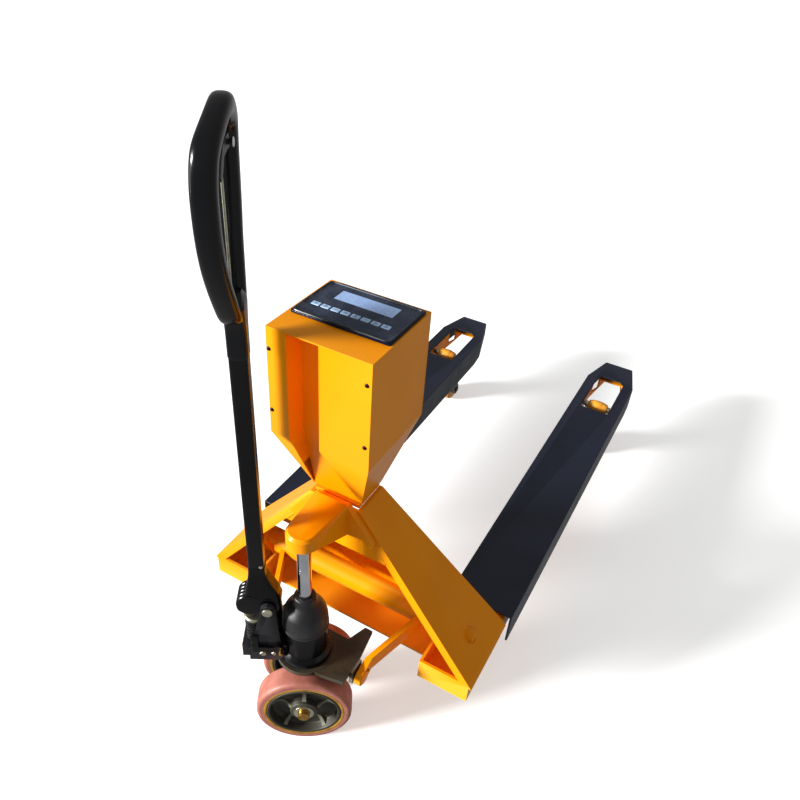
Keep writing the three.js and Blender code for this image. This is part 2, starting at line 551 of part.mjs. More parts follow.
// Grip loop: a ring of oval bar, drawn to a neck below and a low peak above. Seen from the side it
// bows back over its middle. Points of its centre line as x, y, z, for the half with x positive.
function loopCurve() {
  const halfLoop = [
    [0, -91, LOOP.neck], [22, -92, 1023], [42, -95, 1060], [60, -98, 1106], [72, -99, 1150],
    [77, -99, 1195], [76, -98, 1235], [66, -95, 1268], [36, -89, 1292], [0, -85, LOOP.top],
  ];
  const otherHalf = halfLoop.slice(1, -1).reverse().map(([x, y, z]) => [-x, y, z]);
  const points = [...halfLoop, ...otherHalf].map((p) => new THREE.Vector3(...p));
  return new THREE.CatmullRomCurve3(points, true, 'catmullrom', 0.5);
}
function gripLoop() {
  const section = new THREE.Shape(arc([0, 0], 1, 0, 324, 9)
    .map(([x, y]) => new THREE.Vector2(x * LOOP.bar / 2, y * LOOP.depth / 2)));
  const ring = closedSweep(loopCurve(), section, 44);
  const stem = tube(2, 5, HANDLE.top - 45, LOOP.neck + 6);
  const lugs = [-1, 1].map((s) => block([LEVER.x - 10, LEVER.y + s * 9.3 - 2.7, LEVER.z - 10],
    [LEVER.x + 10, LEVER.y + s * 9.3 + 2.7, LOOP.top - 4]));
  const pinBore = bar('y', LEVER.pin + GAP, LEVER.y - 20, LEVER.y + 20, LEVER.x, LEVER.z);
  const socket = tube(GAP, 4, HANDLE.top - 60, HANDLE.top + GAP);
  const cableBore = bar('z', CABLE.bore, HANDLE.top - 60, LOOP.neck + 60, 0, CABLE.y);
  return cut(join(ring, stem, ...lugs), pinBore, socket, cableBore);
}

// Sweeps a section round a closed curve that stays close to an upright plane across the handle.
function closedSweep(curve, section, steps) {
  const outline = section.getPoints();
  const positions = [];
  for (let i = 0; i < steps; i += 1) {
    const centre = curve.getPointAt(i / steps);
    const along = curve.getTangentAt(i / steps);
    const across = new THREE.Vector3(along.z, 0, -along.x);
    for (const p of outline) {
      positions.push(centre.x + across.x * p.x, centre.y + p.y, centre.z + across.z * p.x);
    }
  }
  const n = outline.length;
  const index = [];
  for (let i = 0; i < steps; i += 1) {
    for (let j = 0; j < n; j += 1) {
      const [a, b] = [i * n + j, i * n + ((j + 1) % n)];
      const [c, d] = [((i + 1) % steps) * n + j, ((i + 1) % steps) * n + ((j + 1) % n)];
      index.push(a, b, c, b, d, c);
    }
  }
  const geometry = new THREE.BufferGeometry();
  geometry.setAttribute('position', new THREE.Float32BufferAttribute(positions, 3));
  geometry.setIndex(index);
  return geometry;
}
piece('grip_loop', gripLoop(), blackPlastic, steered);

// Release lever: a bell crank on a pin under the grip's top bar. Its short side lifts the cable.
const leverFace = [LEVER.y - LEVER.thick / 2, LEVER.y + LEVER.thick / 2];
const leverOutline = [
  [-28, -9], [-12, -8], [10, -9], [26, -26], [38, -32],
  [42, -25], [32, -10], [14, 6], [-12, 10], [-28, 9],
].map(([x, z]) => [x, LEVER.z + z]);
piece('release_lever', join(
  facing(leverOutline, ...leverFace),
  bar('y', LEVER.pin, LEVER.y - 12, LEVER.y + 12, LEVER.x, LEVER.z),
), blackPlastic, steered);
piece('pull_rod', bar('z', CABLE.radius, CABLE.bottom, CABLE.top, 0, CABLE.y, 10), steel, steered);

// ---- Indicator housing ---------------------------------------------------------------------------
// Outer or inner form of the housing: an upright box over a funnel, with a channel for the handle.
// The channel's floor widens to the full width of the foot, so the funnel's cheeks are triangles.
function housingForm(inset) {
  const [left, right, front, rear] = [BOX.left + inset, BOX.right - inset, BOX.front + inset, BOX.rear];
  const [footLeft, footRight] = [BOX_FOOT.left + inset, BOX_FOOT.right - inset];
  const footFront = BOX_FOOT.front + inset;
  const foot = BOX.bottom + inset / 2;
  const edge = RECESS.half + inset;
  const back = BOX.front + RECESS.depth + inset;
  const upper = block([left, front, BOX.bend], [right, rear, BOX.top - inset]);
  const channel = block([-edge, front - 10, BOX.bend - 1], [edge, back, BOX.top - BOX.wall]);
  const cheek = (near, far, tip) => hull([
    ...[near, far].flatMap((x) => [[x, front, BOX.bend], [x, rear, BOX.bend]]),
    [tip, footFront, foot],
    [tip, rear, foot],
  ]);
  const floor = hull([
    ...[-edge, edge].flatMap((x) => [[x, back, BOX.bend], [x, rear, BOX.bend]]),
    ...[footLeft, footRight].flatMap((x) => [[x, footFront, foot], [x, rear, foot]]),
  ]);
  const cheeks = [cheek(-edge, left, footLeft), cheek(edge, right, footRight)];
  return solid(join(cut(upper, channel), ...cheeks, floor));
}
function housing() {
  const outer = housingForm(0);
  const inner = housingForm(BOX.wall);
  const opening = solid(block([PANEL.left + 8, PANEL.front + 8, BOX.top - 20],
    [PANEL.right - 8, PANEL.rear - 4, BOX.top + 5]));
  return geometryOf(outer.subtract(inner).subtract(opening));
}
piece('indicator_housing', housing(), yellowPaint);
const rearOutline = [
  [BOX_FOOT.left, BOX.bottom], [BOX_FOOT.right, BOX.bottom],
  [BOX.right, BOX.bend], [BOX.right, BOX.top], [BOX.left, BOX.top], [BOX.left, BOX.bend],
];
piece('housing_rear_cover', facing(rearOutline, BOX.rear + GAP, BOX.rear + GAP + BOX.wall),
  yellowPaint);

const keyX = (i) => KEYS.first + i * KEYS.pitch;
function bezel() {
  const top = PANEL.z + PANEL.thick;
  const plate = raised(roundedRect(PANEL.right - PANEL.left, PANEL.rear - PANEL.front, 5), PANEL.z, top)
    .translate((PANEL.left + PANEL.right) / 2, (PANEL.front + PANEL.rear) / 2, 0);
  const holes = Array.from({ length: KEYS.count }, (_, i) => block(
    [keyX(i) - KEYS.width / 2 - GAP, KEYS.y - KEYS.depth / 2 - GAP, PANEL.z - 5],
    [keyX(i) + KEYS.width / 2 + GAP, KEYS.y + KEYS.depth / 2 + GAP, top + 5]));
  const window = block([WINDOW.left - GAP, WINDOW.front - GAP, PANEL.z - 5],
    [WINDOW.right + GAP, WINDOW.rear + GAP, top + 5]);
  return cut(plate, window, ...holes);
}
piece('indicator_bezel', bezel(), panelFilm);
piece('display_window', block([WINDOW.left, WINDOW.front, PANEL.z],
  [WINDOW.right, WINDOW.rear, PANEL.z + WINDOW.thick]), glass);
for (let i = 0; i < KEYS.count; i += 1) {
  piece(`key_${i + 1}`, block([keyX(i) - KEYS.width / 2, KEYS.y - KEYS.depth / 2, PANEL.z + 1],
    [keyX(i) + KEYS.width / 2, KEYS.y + KEYS.depth / 2, PANEL.z + PANEL.thick + 0.8]), keyFilm);
}
piece('indicator_board', block([-50, -226, 952], [110, -130, 957]), circuit);
piece('battery', block([36, -240, 772], [116, -140, 838]), blackPlastic);

// The origin is the middle of the footprint, on the floor.
const extent = new THREE.Box3().setFromObject(truck);
truck.position.set(-(extent.min.x + extent.max.x) / 2, -(extent.min.y + extent.max.y) / 2, 0);

export default truck;
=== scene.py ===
"""Looks of a hand pallet truck with a built-in scale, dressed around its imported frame.

The truck stands raised on its pump with the tiller turned aside. Each sub-assembly is a class
that builds its own surfaces with numpy and dresses them with finishes named for real materials.
"""

import json
import logging
import math
from collections.abc import Iterable
from dataclasses import dataclass, field
from enum import Enum

import bmesh
import bpy
import numpy as np
from mathutils import Matrix, Vector

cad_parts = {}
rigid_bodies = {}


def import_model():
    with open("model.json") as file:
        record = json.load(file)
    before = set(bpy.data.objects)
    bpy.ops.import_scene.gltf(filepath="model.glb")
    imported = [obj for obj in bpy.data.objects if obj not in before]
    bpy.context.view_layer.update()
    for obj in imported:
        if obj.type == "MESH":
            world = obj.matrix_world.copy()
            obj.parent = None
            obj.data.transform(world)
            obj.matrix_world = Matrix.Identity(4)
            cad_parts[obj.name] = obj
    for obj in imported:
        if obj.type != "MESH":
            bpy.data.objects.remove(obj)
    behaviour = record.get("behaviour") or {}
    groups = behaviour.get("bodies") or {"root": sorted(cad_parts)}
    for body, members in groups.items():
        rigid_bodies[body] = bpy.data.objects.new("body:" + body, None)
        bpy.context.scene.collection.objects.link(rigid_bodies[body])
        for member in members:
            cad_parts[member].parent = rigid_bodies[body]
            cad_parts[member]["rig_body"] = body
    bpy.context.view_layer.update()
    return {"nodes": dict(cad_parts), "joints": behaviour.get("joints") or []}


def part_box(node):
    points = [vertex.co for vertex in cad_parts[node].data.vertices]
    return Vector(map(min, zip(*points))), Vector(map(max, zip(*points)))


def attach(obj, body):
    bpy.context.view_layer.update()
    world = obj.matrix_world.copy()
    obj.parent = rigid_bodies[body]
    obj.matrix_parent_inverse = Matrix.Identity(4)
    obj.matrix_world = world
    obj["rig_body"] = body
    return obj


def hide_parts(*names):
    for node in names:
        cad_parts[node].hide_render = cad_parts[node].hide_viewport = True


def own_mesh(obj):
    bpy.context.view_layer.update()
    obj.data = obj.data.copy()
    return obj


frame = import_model()

LOG = logging.getLogger("pallet_scale")
MM = 0.001
SIDES = (("left", -1.0), ("right", 1.0))


# ---- Colour and shader nodes ---------------------------------------------------------------------
def linear(hex_colour: str) -> tuple[float, float, float, float]:
    """Turns an sRGB hex colour into linear red, green, blue and an alpha of one.

    Args:
        hex_colour: six hex digits, such as "F2A912".

    Returns:
        Linear values from 0 to 1.
    """
    srgb = np.array([int(hex_colour[i : i + 2], 16) / 255 for i in (0, 2, 4)])
    value = np.where(srgb <= 0.04045, srgb / 12.92, ((srgb + 0.055) / 1.055) ** 2.4)
    return (*value.tolist(), 1.0)


def add(tree: bpy.types.NodeTree, kind: str, settings: dict | None = None,
        links: dict | None = None) -> bpy.types.Node:
    """Adds a shader node with its settings and its socket values or links.

    Args:
        tree: the material's node tree.
        kind: the node's type without the "ShaderNode" that all of them start with.
        settings: attributes to set on the node.
        links: socket name or number to a value, or to the output socket that feeds it.

    Returns:
        The new node.
    """
    made = tree.nodes.new("ShaderNode" + kind)
    for name, value in (settings or {}).items():
        setattr(made, name, value)
    for name, value in (links or {}).items():
        socket = made.inputs[name]
        if isinstance(value, bpy.types.NodeSocket):
            tree.links.new(value, socket)
        else:
            socket.default_value = value
    return made


class Grain(Enum):
    """How a surface was made, which sets the pattern of its fine relief."""

    ORANGE_PEEL = "sprayed or powder coated"
    CAST = "sand cast"
    BRUSHED = "turned or drawn"
    MOULDED = "moulded"
    SMOOTH = "polished"


@dataclass(frozen=True)
class Finish:
    """A finish: what it is made of, and how that reads.

    Attributes:
        name: the material's own name.
        slot: the record's material slot.
        light: hex colour of the lighter clouds.
        dark: hex colour of the darker clouds.
        cloud_mm: size of the colour clouds.
        metallic: 1 for bare metal.
        roughness: lowest and highest roughness.
        grain: the kind of fine relief.
        grain_mm: size of the relief's bumps.
        relief_mm: height of the relief.
        stretch: how far the grain is drawn out along each axis.
        coat: weight of a clear coat.
        edge: hex colour of a painted highlight along sharply convex edges, or empty.
        edge_highlight_amount: how much of that painted highlight shows.
        sheen: weight of a dusty sheen.
        specular: strength of the surface reflection of a paint or plastic.
    """

    name: str
    slot: str
    light: str
    dark: str
    cloud_mm: float = 90.0
    metallic: float = 0.0
    roughness: tuple[float, float] = (0.3, 0.4)
    grain: Grain = Grain.ORANGE_PEEL
    grain_mm: float = 1.6
    relief_mm: float = 0.05
    stretch: tuple[float, float, float] = (1.0, 1.0, 1.0)
    coat: float = 0.0
    # Painted highlight: the edge colour is laid on sharply convex edges, where light glints.
    edge: str = ""
    edge_highlight_amount: float = 0.6
    sheen: float = 0.0
    specular: float = 0.5

    def material(self) -> bpy.types.Material:
        """Builds the material once, and gives the same one back after that."""
        found = bpy.data.materials.get(self.name)
        if found:
            return found
        made = bpy.data.materials.new(self.name)
        made.use_nodes = True
        tree = made.node_tree
        tree.nodes.clear()
        where = add(tree, "TexCoord").outputs["Object"]
        shader = add(tree, "BsdfPrincipled")
        add(tree, "OutputMaterial", None, {"Surface": shader.outputs["BSDF"]})
        tree.links.new(self._colour(tree, where), shader.inputs["Base Color"])
        tree.links.new(self._roughness(tree, where), shader.inputs["Roughness"])
        if self.relief_mm > 0:
            tree.links.new(self._relief(tree, where), shader.inputs["Normal"])
        shader.inputs["Metallic"].default_value = self.metallic
        shader.inputs["Coat Weight"].default_value = self.coat
        shader.inputs["Coat Roughness"].default_value = 0.08
        shader.inputs["Sheen Weight"].default_value = self.sheen
        shader.inputs["Specular IOR Level"].default_value = self.specular
        return made

    def _colour(self, tree: bpy.types.NodeTree, where: bpy.types.NodeSocket) -> bpy.types.NodeSocket:
        """Two tones in soft clouds, and a painted highlight in the edge colour on sharply convex parts.

        Args:
            tree: the material's node tree.
            where: the socket that gives the place on the object.

        Returns:
            The colour's socket.
        """
        cloud = add(tree, "TexNoise", None, {
            "Vector": where, "Scale": 1 / (self.cloud_mm * MM), "Detail": 4.0, "Roughness": 0.6})
        spread = add(tree, "MapRange", None, {
            "Value": cloud.outputs["Fac"], "From Min": 0.35, "From Max": 0.65})
        tone = add(tree, "Mix", {"data_type": "RGBA"}, {
            0: spread.outputs["Result"], 6: linear(self.dark), 7: linear(self.light)}).outputs[2]
        if not self.edge:
            return tone
        # Painted highlight: the edge colour is mixed in where pointiness marks a sharply convex edge.
        sharp = add(tree, "NewGeometry").outputs["Pointiness"]
        edge_highlight_mask = add(tree, "MapRange", None, {
            "Value": sharp, "From Min": 0.53, "From Max": 0.62, "To Max": self.edge_highlight_amount})
        return add(tree, "Mix", {"data_type": "RGBA"}, {
            0: edge_highlight_mask.outputs["Result"], 6: tone, 7: linear(self.edge)}).outputs[2]

    def _roughness(self, tree: bpy.types.NodeTree, where: bpy.types.NodeSocket) -> bpy.types.NodeSocket:
        """Roughness that drifts between its two values, in patches 0.4 of a colour cloud wide.

        Args:
            tree: the material's node tree.
            where: the socket that gives the place on the object.

        Returns:
            The roughness socket.
        """
        patches = add(tree, "TexNoise", None, {
            "Vector": where, "Scale": 1 / (0.4 * self.cloud_mm * MM), "Detail": 6.0, "Roughness": 0.7})
        low, high = self.roughness
        return add(tree, "MapRange", None, {
            "Value": patches.outputs["Fac"], "From Min": 0.3, "From Max": 0.7,
            "To Min": low, "To Max": high}).outputs["Result"]

    def _relief(self, tree: bpy.types.NodeTree, where: bpy.types.NodeSocket) -> bpy.types.NodeSocket:
        """The finish's own small bumps, one grain_mm across and relief_mm high.

        Args:
            tree: the material's node tree.
            where: the socket that gives the place on the object.

        Returns:
            The normal's socket.
        """
        placed = add(tree, "Mapping", None, {"Vector": where, "Scale": self.stretch})
        scale = 1 / (self.grain_mm * MM)
        if self.grain is Grain.CAST:
            texture = add(tree, "TexVoronoi", None, {
                "Vector": placed.outputs["Vector"], "Scale": scale, "Randomness": 1.0})
            height = texture.outputs["Distance"]
        else:
            texture = add(tree, "TexNoise", None, {
                "Vector": placed.outputs["Vector"], "Scale": scale, "Detail": 2.0})
            height = texture.outputs["Fac"]
        return add(tree, "Bump", None, {
            "Height": height, "Distance": self.relief_mm * MM, "Strength": 1.0}).outputs["Normal"]


# Powder coat: a baked polyester skin, glossy with a faint orange peel, with a painted highlight on its
# sheared edges.
YELLOW = Finish("yellow_powder_coat", "yellow_paint", "F59600", "EE8E00", 260, roughness=(0.28, 0.4),
                grain_mm=2.4, relief_mm=0.04, coat=0.03, edge="FFB83A", edge_highlight_amount=0.5, specular=0.12)
# Navy coat and black enamel: each with a painted highlight in its edge colour along sharp edges.
NAVY = Finish("navy_powder_coat", "navy_paint", "101729", "0B101F", 150, roughness=(0.38, 0.5),
              grain_mm=2.0, relief_mm=0.06, specular=0.3, edge="5A6276", edge_highlight_amount=0.5)
BLACK = Finish("black_enamel", "black_paint", "070708", "030304", 80, roughness=(0.16, 0.3),
               grain_mm=3.0, relief_mm=0.08, coat=0.06, specular=0.2, edge="3A3A40", edge_highlight_amount=0.4)
# Grey cast iron under a thin dark primer: pitted by the sand, with a painted highlight on its rims.
IRON = Finish("primed_cast_iron", "cast_iron", "3A372C", "262419", 40, metallic=0.25,
              roughness=(0.42, 0.65), grain=Grain.CAST, grain_mm=1.8, relief_mm=0.16,
              edge="85826F", edge_highlight_amount=0.7)
# Primed steel plate, with a painted highlight in its edge colour along sharp edges.
OLIVE = Finish("primed_steel_plate", "cast_iron", "3B3323", "28231A", 60, metallic=0.2,
               roughness=(0.34, 0.55), grain_mm=2.5, relief_mm=0.08, edge="8C8C80", edge_highlight_amount=0.7)
# Zinc plated steel: bright, slightly yellow, with fine turning marks.
ZINC = Finish("zinc_plated_steel", "steel", "D8D6C0", "A9A78F", 18, metallic=1.0, roughness=(0.24, 0.4),
              grain=Grain.BRUSHED, grain_mm=0.8, relief_mm=0.02)
# Hard chrome on a ground rod: mirror-like with a trace of grinding along it.
CHROME = Finish("hard_chrome", "chrome", "E4E6EA", "C9CCD2", 60, metallic=1.0, roughness=(0.08, 0.16),
                grain=Grain.BRUSHED, grain_mm=1.0, relief_mm=0.01, stretch=(6.0, 6.0, 0.3))
RUBBER = Finish("moulded_nitrile_rubber", "rubber", "121213", "0A0A0B", 50, roughness=(0.36, 0.55),
                grain=Grain.MOULDED, grain_mm=2.2, relief_mm=0.08, sheen=0.04)
# Cast polyurethane: dense and waxy; the red tread has a painted highlight on its sharp shoulders.
RED_TREAD = Finish("red_polyurethane", "red_tyre", "B06E5E", "9A5A4B", 35, roughness=(0.42, 0.6),
                   grain=Grain.MOULDED, grain_mm=2.6, relief_mm=0.08, edge="C98A76", edge_highlight_amount=0.5)
GOLD_BAND = Finish("bonded_rim_band", "red_tyre", "C08A20", "8E6414", 30, roughness=(0.35, 0.5),
                   grain=Grain.MOULDED, grain_mm=1.8, relief_mm=0.05)
AMBER = Finish("amber_polyurethane", "amber_tyre", "EDA22C", "C97D16", 25, roughness=(0.3, 0.45),
               grain=Grain.MOULDED, grain_mm=1.6, relief_mm=0.04, coat=0.2)
GRIP = Finish("glossy_dip_moulded_pvc", "black_plastic", "08090C", "040507", 120,
              roughness=(0.14, 0.26), grain=Grain.MOULDED, grain_mm=4.0, relief_mm=0.05,
              coat=0.14, specular=0.25)
PLASTIC = Finish("moulded_abs", "black_plastic", "1B1C20", "121316", 30, roughness=(0.3, 0.42),
                 grain=Grain.MOULDED, grain_mm=0.9, relief_mm=0.03)
FILM = Finish("printed_polyester_panel", "panel_film", "0D1630", "091126", 60, roughness=(0.2, 0.3),
              grain=Grain.SMOOTH, grain_mm=6.0, relief_mm=0.02, coat=0.06, specular=0.15)
RIM = Finish("panel_gasket", "black_plastic", "0B0C10", "08090C", 40, roughness=(0.25, 0.4),
             grain=Grain.MOULDED, grain_mm=1.2, relief_mm=0.03)
CRYSTAL = Finish("liquid_crystal_glass", "display_glass", "C9DCF6", "B4C9EA", 70, roughness=(0.1, 0.16),
                 grain=Grain.SMOOTH, grain_mm=8.0, relief_mm=0.0, coat=0.3)
KEYCAP = Finish("printed_key_film", "key_film", "D6E8F8", "C2D8EC", 12, roughness=(0.3, 0.42),
                grain=Grain.MOULDED, grain_mm=0.8, relief_mm=0.02)
INK = Finish("navy_print", "panel_film", "1A2A4A", "14213C", 12, roughness=(0.4, 0.5), relief_mm=0.0)
GHOST = Finish("unlit_segments", "display_glass", "AFC4E4", "A2B8DA", 20, roughness=(0.12, 0.2),
               relief_mm=0.0)
CIRCUIT = Finish("green_solder_mask", "circuit", "1F5A35", "17462A", 14, roughness=(0.3, 0.5),
                 grain_mm=1.5, relief_mm=0.04)
ALUMINIUM = Finish("milled_aluminium", "aluminium", "C8CACC", "AEB1B4", 25, metallic=1.0,
                   roughness=(0.28, 0.42), grain=Grain.BRUSHED, grain_mm=0.7, relief_mm=0.02,
                   stretch=(1.0, 0.08, 1.0))
SCREW = Finish("black_oxide_screw", "steel", "2A2026", "1A1418", 6, metallic=0.8, roughness=(0.3, 0.45),
               grain=Grain.BRUSHED, grain_mm=0.5, relief_mm=0.01)
# Spring steel, phosphated and oiled: dark with a soft shine.
SPRING = Finish("phosphated_spring_steel", "steel", "2C2B2C", "1C1B1D", 12, metallic=0.9,
                roughness=(0.28, 0.42), grain=Grain.BRUSHED, grain_mm=0.6, relief_mm=0.01)
BRASS = Finish("turned_brass", "steel", "C79A4B", "9C7330", 10, metallic=1.0, roughness=(0.25, 0.4),
               grain=Grain.BRUSHED, grain_mm=0.6, relief_mm=0.02)


def clear_film() -> bpy.types.Material:
    """Clear polyethylene: see-through, with creases that catch the light and a faint haze.

    Returns:
        The material.
    """
    made = bpy.data.materials.new("clear_protective_film")
    made.use_nodes = True
    tree = made.node_tree
    tree.nodes.clear()
    where = add(tree, "TexCoord").outputs["Object"]
    # Creases about 28 mm apart, shaded as if 4 mm high.
    crease = add(tree, "TexNoise", None, {"Vector": where, "Scale": 1 / (28 * MM), "Detail": 3.0})
    ridge = add(tree, "Bump", None, {
        "Height": crease.outputs["Fac"], "Distance": 4 * MM, "Strength": 0.9})
    haze = add(tree, "MapRange", None, {
        "Value": crease.outputs["Fac"], "To Min": 0.0, "To Max": 0.05})
    clear = add(tree, "BsdfTransparent", None, {"Color": linear("F6FAFF")})
    gloss = add(tree, "BsdfPrincipled", None, {
        "Normal": ridge.outputs["Normal"], "Base Color": linear("DCE6F2"), "Roughness": 0.12})
    mixed = add(tree, "MixShader", None, {
        0: haze.outputs["Result"], 1: clear.outputs["BSDF"], 2: gloss.outputs["BSDF"]})
    add(tree, "OutputMaterial", None, {"Surface": mixed.outputs["Shader"]})
    return made


# ---- Surfaces -------------------------------------------------------------------------------------
def surface(name: str, grid: np.ndarray, around: bool = True, along: bool = False,
            caps: bool = False) -> bpy.types.Object:
    """Makes a mesh object from a grid of points, the two parameters of a surface.

    Args:
        name: the piece's name.
        grid: points as rows, columns, xyz, in metres.
        around: whether each row closes on itself.
        along: whether the last row joins the first.
        caps: whether the first and last rows are filled with a flat face.

    Returns:
        The object, with doubles at its poles merged and its faces pointing outwards.
    """
    rows, columns = grid.shape[:2]
    index = np.arange(rows * columns).reshape(rows, columns)
    if around:
        index = np.concatenate([index, index[:, :1]], axis=1)
    if along:
        index = np.concatenate([index, index[:1]], axis=0)
    quads = np.stack([index[:-1, :-1], index[:-1, 1:], index[1:, 1:], index[1:, :-1]], axis=-1)
    faces = quads.reshape(-1, 4).tolist()
    if caps:
        faces += [index[0, :columns].tolist(), index[rows - 1, :columns].tolist()]
    mesh = bpy.data.meshes.new(name)
    mesh.from_pydata(grid.reshape(-1, 3).tolist(), [], faces)
    mesh.update()
    return settled(name, mesh, math.radians(35), True)


def settled(name: str, mesh: bpy.types.Mesh, sharp: float, outward: bool) -> bpy.types.Object:
    """Merges doubles, smooths across soft edges and links the object to the scene.

    Args:
        name: the object's name.
        mesh: its mesh, changed in place.
        sharp: the angle in radians above which an edge stays sharp.
        outward: whether the faces are turned to point outwards.

    Returns:
        The object.
    """
    work = bmesh.new()
    work.from_mesh(mesh)
    bmesh.ops.remove_doubles(work, verts=work.verts, dist=1e-6)
    bmesh.ops.dissolve_degenerate(work, edges=work.edges, dist=1e-7)
    if outward:
        bmesh.ops.recalc_face_normals(work, faces=work.faces)
    work.to_mesh(mesh)
    work.free()
    mesh.polygons.foreach_set("use_smooth", np.ones(len(mesh.polygons), bool))
    mesh.set_sharp_from_angle(angle=sharp)
    made = bpy.data.objects.new(name, mesh)
    bpy.context.scene.collection.objects.link(made)
    return made


def turned(name: str, profile: Iterable[tuple[float, float]], centre: Vector, axis: Vector,
           sides: int = 48) -> bpy.types.Object:
    """Turns a profile about an axis: point = centre + height * axis + radius * (cos a, sin a).

    Args:
        name: the piece's name.
        profile: radius and height pairs in millimetres, from pole to pole or closing on itself.
        centre: where height is zero, in metres.
        axis: the direction of growing height.
        sides: points round the axis.

    Returns:
        The turned object.
    """
    shape = np.array(list(profile), float) * MM
    angle = np.linspace(0, 2 * np.pi, sides, endpoint=False)
    out = np.array(axis.normalized())
    first = np.array(axis.orthogonal().normalized())
    second = np.cross(out, first)
    ring = np.cos(angle)[:, None] * first + np.sin(angle)[:, None] * second
    grid = shape[:, None, 1:] * out + shape[:, None, :1] * ring[None]
    closed = not (shape[0, 0] == 0 and shape[-1, 0] == 0)
    return surface(name, grid + np.array(centre), around=True, along=closed)


def rounded(points: Iterable[tuple[float, float]], radius: float, steps: int = 4) -> np.ndarray:
    """Rounds the corners of an open or pole-to-pole profile with short arcs.

    Each corner is replaced by a quadratic arc (1-t)^2 a + 2t(1-t) p + t^2 b between the points a and
    b that lie one radius before and after it.

    Args:
        points: radius and height pairs.
        radius: how far from each corner the arc starts, cut to half the shorter neighbour.
        steps: points on each arc.

    Returns:
        The rounded profile, with its first and last points kept.
    """
    points = np.asarray(points, float)
    t = np.linspace(0, 1, steps)[:, None]
    out = [points[:1]]
    for before, corner, after in zip(points[:-2], points[1:-1], points[2:]):
        back, on = before - corner, after - corner
        reach = min(radius, 0.5 * np.linalg.norm(back), 0.5 * np.linalg.norm(on))
        a = corner + back / np.linalg.norm(back) * reach
        b = corner + on / np.linalg.norm(on) * reach
        out.append((1 - t) ** 2 * a + 2 * t * (1 - t) * corner + t**2 * b)
    out.append(points[-1:])
    return np.concatenate(out)


def swept(name: str, path: np.ndarray, radius: float, closed: bool = False,
          sides: int = 12) -> bpy.types.Object:
    """Carries a circle along a path, turned at each point to stay square to it.

    Args:
        name: the piece's name.
        path: points in metres.
        radius: the circle's radius in metres.
        closed: whether the path joins up.
        sides: points round the circle.

    Returns:
        The tube.
    """
    ahead = np.roll(path, -1, axis=0) - np.roll(path, 1, axis=0)
    if not closed:
        ahead[0], ahead[-1] = path[1] - path[0], path[-1] - path[-2]
    ahead /= np.linalg.norm(ahead, axis=1, keepdims=True)
    guide = np.array([0.31, 0.17, 0.93])
    first = np.cross(ahead, guide)
    first /= np.linalg.norm(first, axis=1, keepdims=True)
    second = np.cross(ahead, first)
    angle = np.linspace(0, 2 * np.pi, sides, endpoint=False)[None, :, None]
    grid = path[:, None] + radius * (np.cos(angle) * first[:, None] + np.sin(angle) * second[:, None])
    return surface(name, grid, along=closed, caps=not closed)


def raised(name: str, outline: np.ndarray, base: float, thickness: float) -> bpy.types.Object:
    """A flat shape of even thickness, such as a printed mark.

    Args:
        name: the piece's name.
        outline: its corners in x and y, in metres.
        base: the height of its underside, in metres.
        thickness: how thick it is, in metres.

    Returns:
        The shape.
    """
    levels = (base, base + thickness)
    grid = [np.column_stack([outline, np.full(len(outline), level)]) for level in levels]
    return surface(name, np.stack(grid), caps=True)


def superellipse(half_x: np.ndarray, half_y: np.ndarray, power: float, count: int) -> np.ndarray:
    """Points of |x/a|^p + |y/b|^p = 1, one closed outline for each pair of half widths.

    Args:
        half_x: the half widths a.
        half_y: the half widths b.
        power: the exponent p, 2 for an ellipse and more for a squarer outline.
        count: points on each outline.

    Returns:
        Points as outlines, count, xy.
    """
    angle = np.linspace(0, 2 * np.pi, count, endpoint=False)
    x = np.sign(np.cos(angle)) * np.abs(np.cos(angle)) ** (2 / power)
    y = np.sign(np.sin(angle)) * np.abs(np.sin(angle)) ** (2 / power)
    return np.stack([np.outer(half_x, x), np.outer(half_y, y)], axis=-1)


def catmull_rom(points: np.ndarray, steps: int) -> np.ndarray:
    """A closed curve through points.

    On each span, with t from 0 to 1 between p1 and p2, the curve is half of
    2 p1 + (p2 - p0) t + (2 p0 - 5 p1 + 4 p2 - p3) t^2 + (3 p1 - p0 - 3 p2 + p3) t^3.

    Args:
        points: the points to pass through, in order.
        steps: points on each span.

    Returns:
        The curve's points, without the first repeated.
    """
    p0, p1, p2, p3 = (np.roll(points, shift, axis=0)[:, None] for shift in (1, 0, -1, -2))
    t = np.linspace(0, 1, steps, endpoint=False)[None, :, None]
    curve = (2 * p1 + (p2 - p0) * t + (2 * p0 - 5 * p1 + 4 * p2 - p3) * t**2
             + (3 * p1 - p0 - 3 * p2 + p3) * t**3) / 2
    return curve.reshape(-1, points.shape[1])


def smooth(value: np.ndarray, low: float, high: float) -> np.ndarray:
    """The cubic step 3t^2 - 2t^3 of a value between two limits.

    Args:
        value: the values to step.
        low: the value at which the step is 0.
        high: the value at which the step is 1.

    Returns:
        Numbers from 0 to 1.
    """
    t = np.clip((value - low) / (high - low), 0, 1)
    return t * t * (3 - 2 * t)


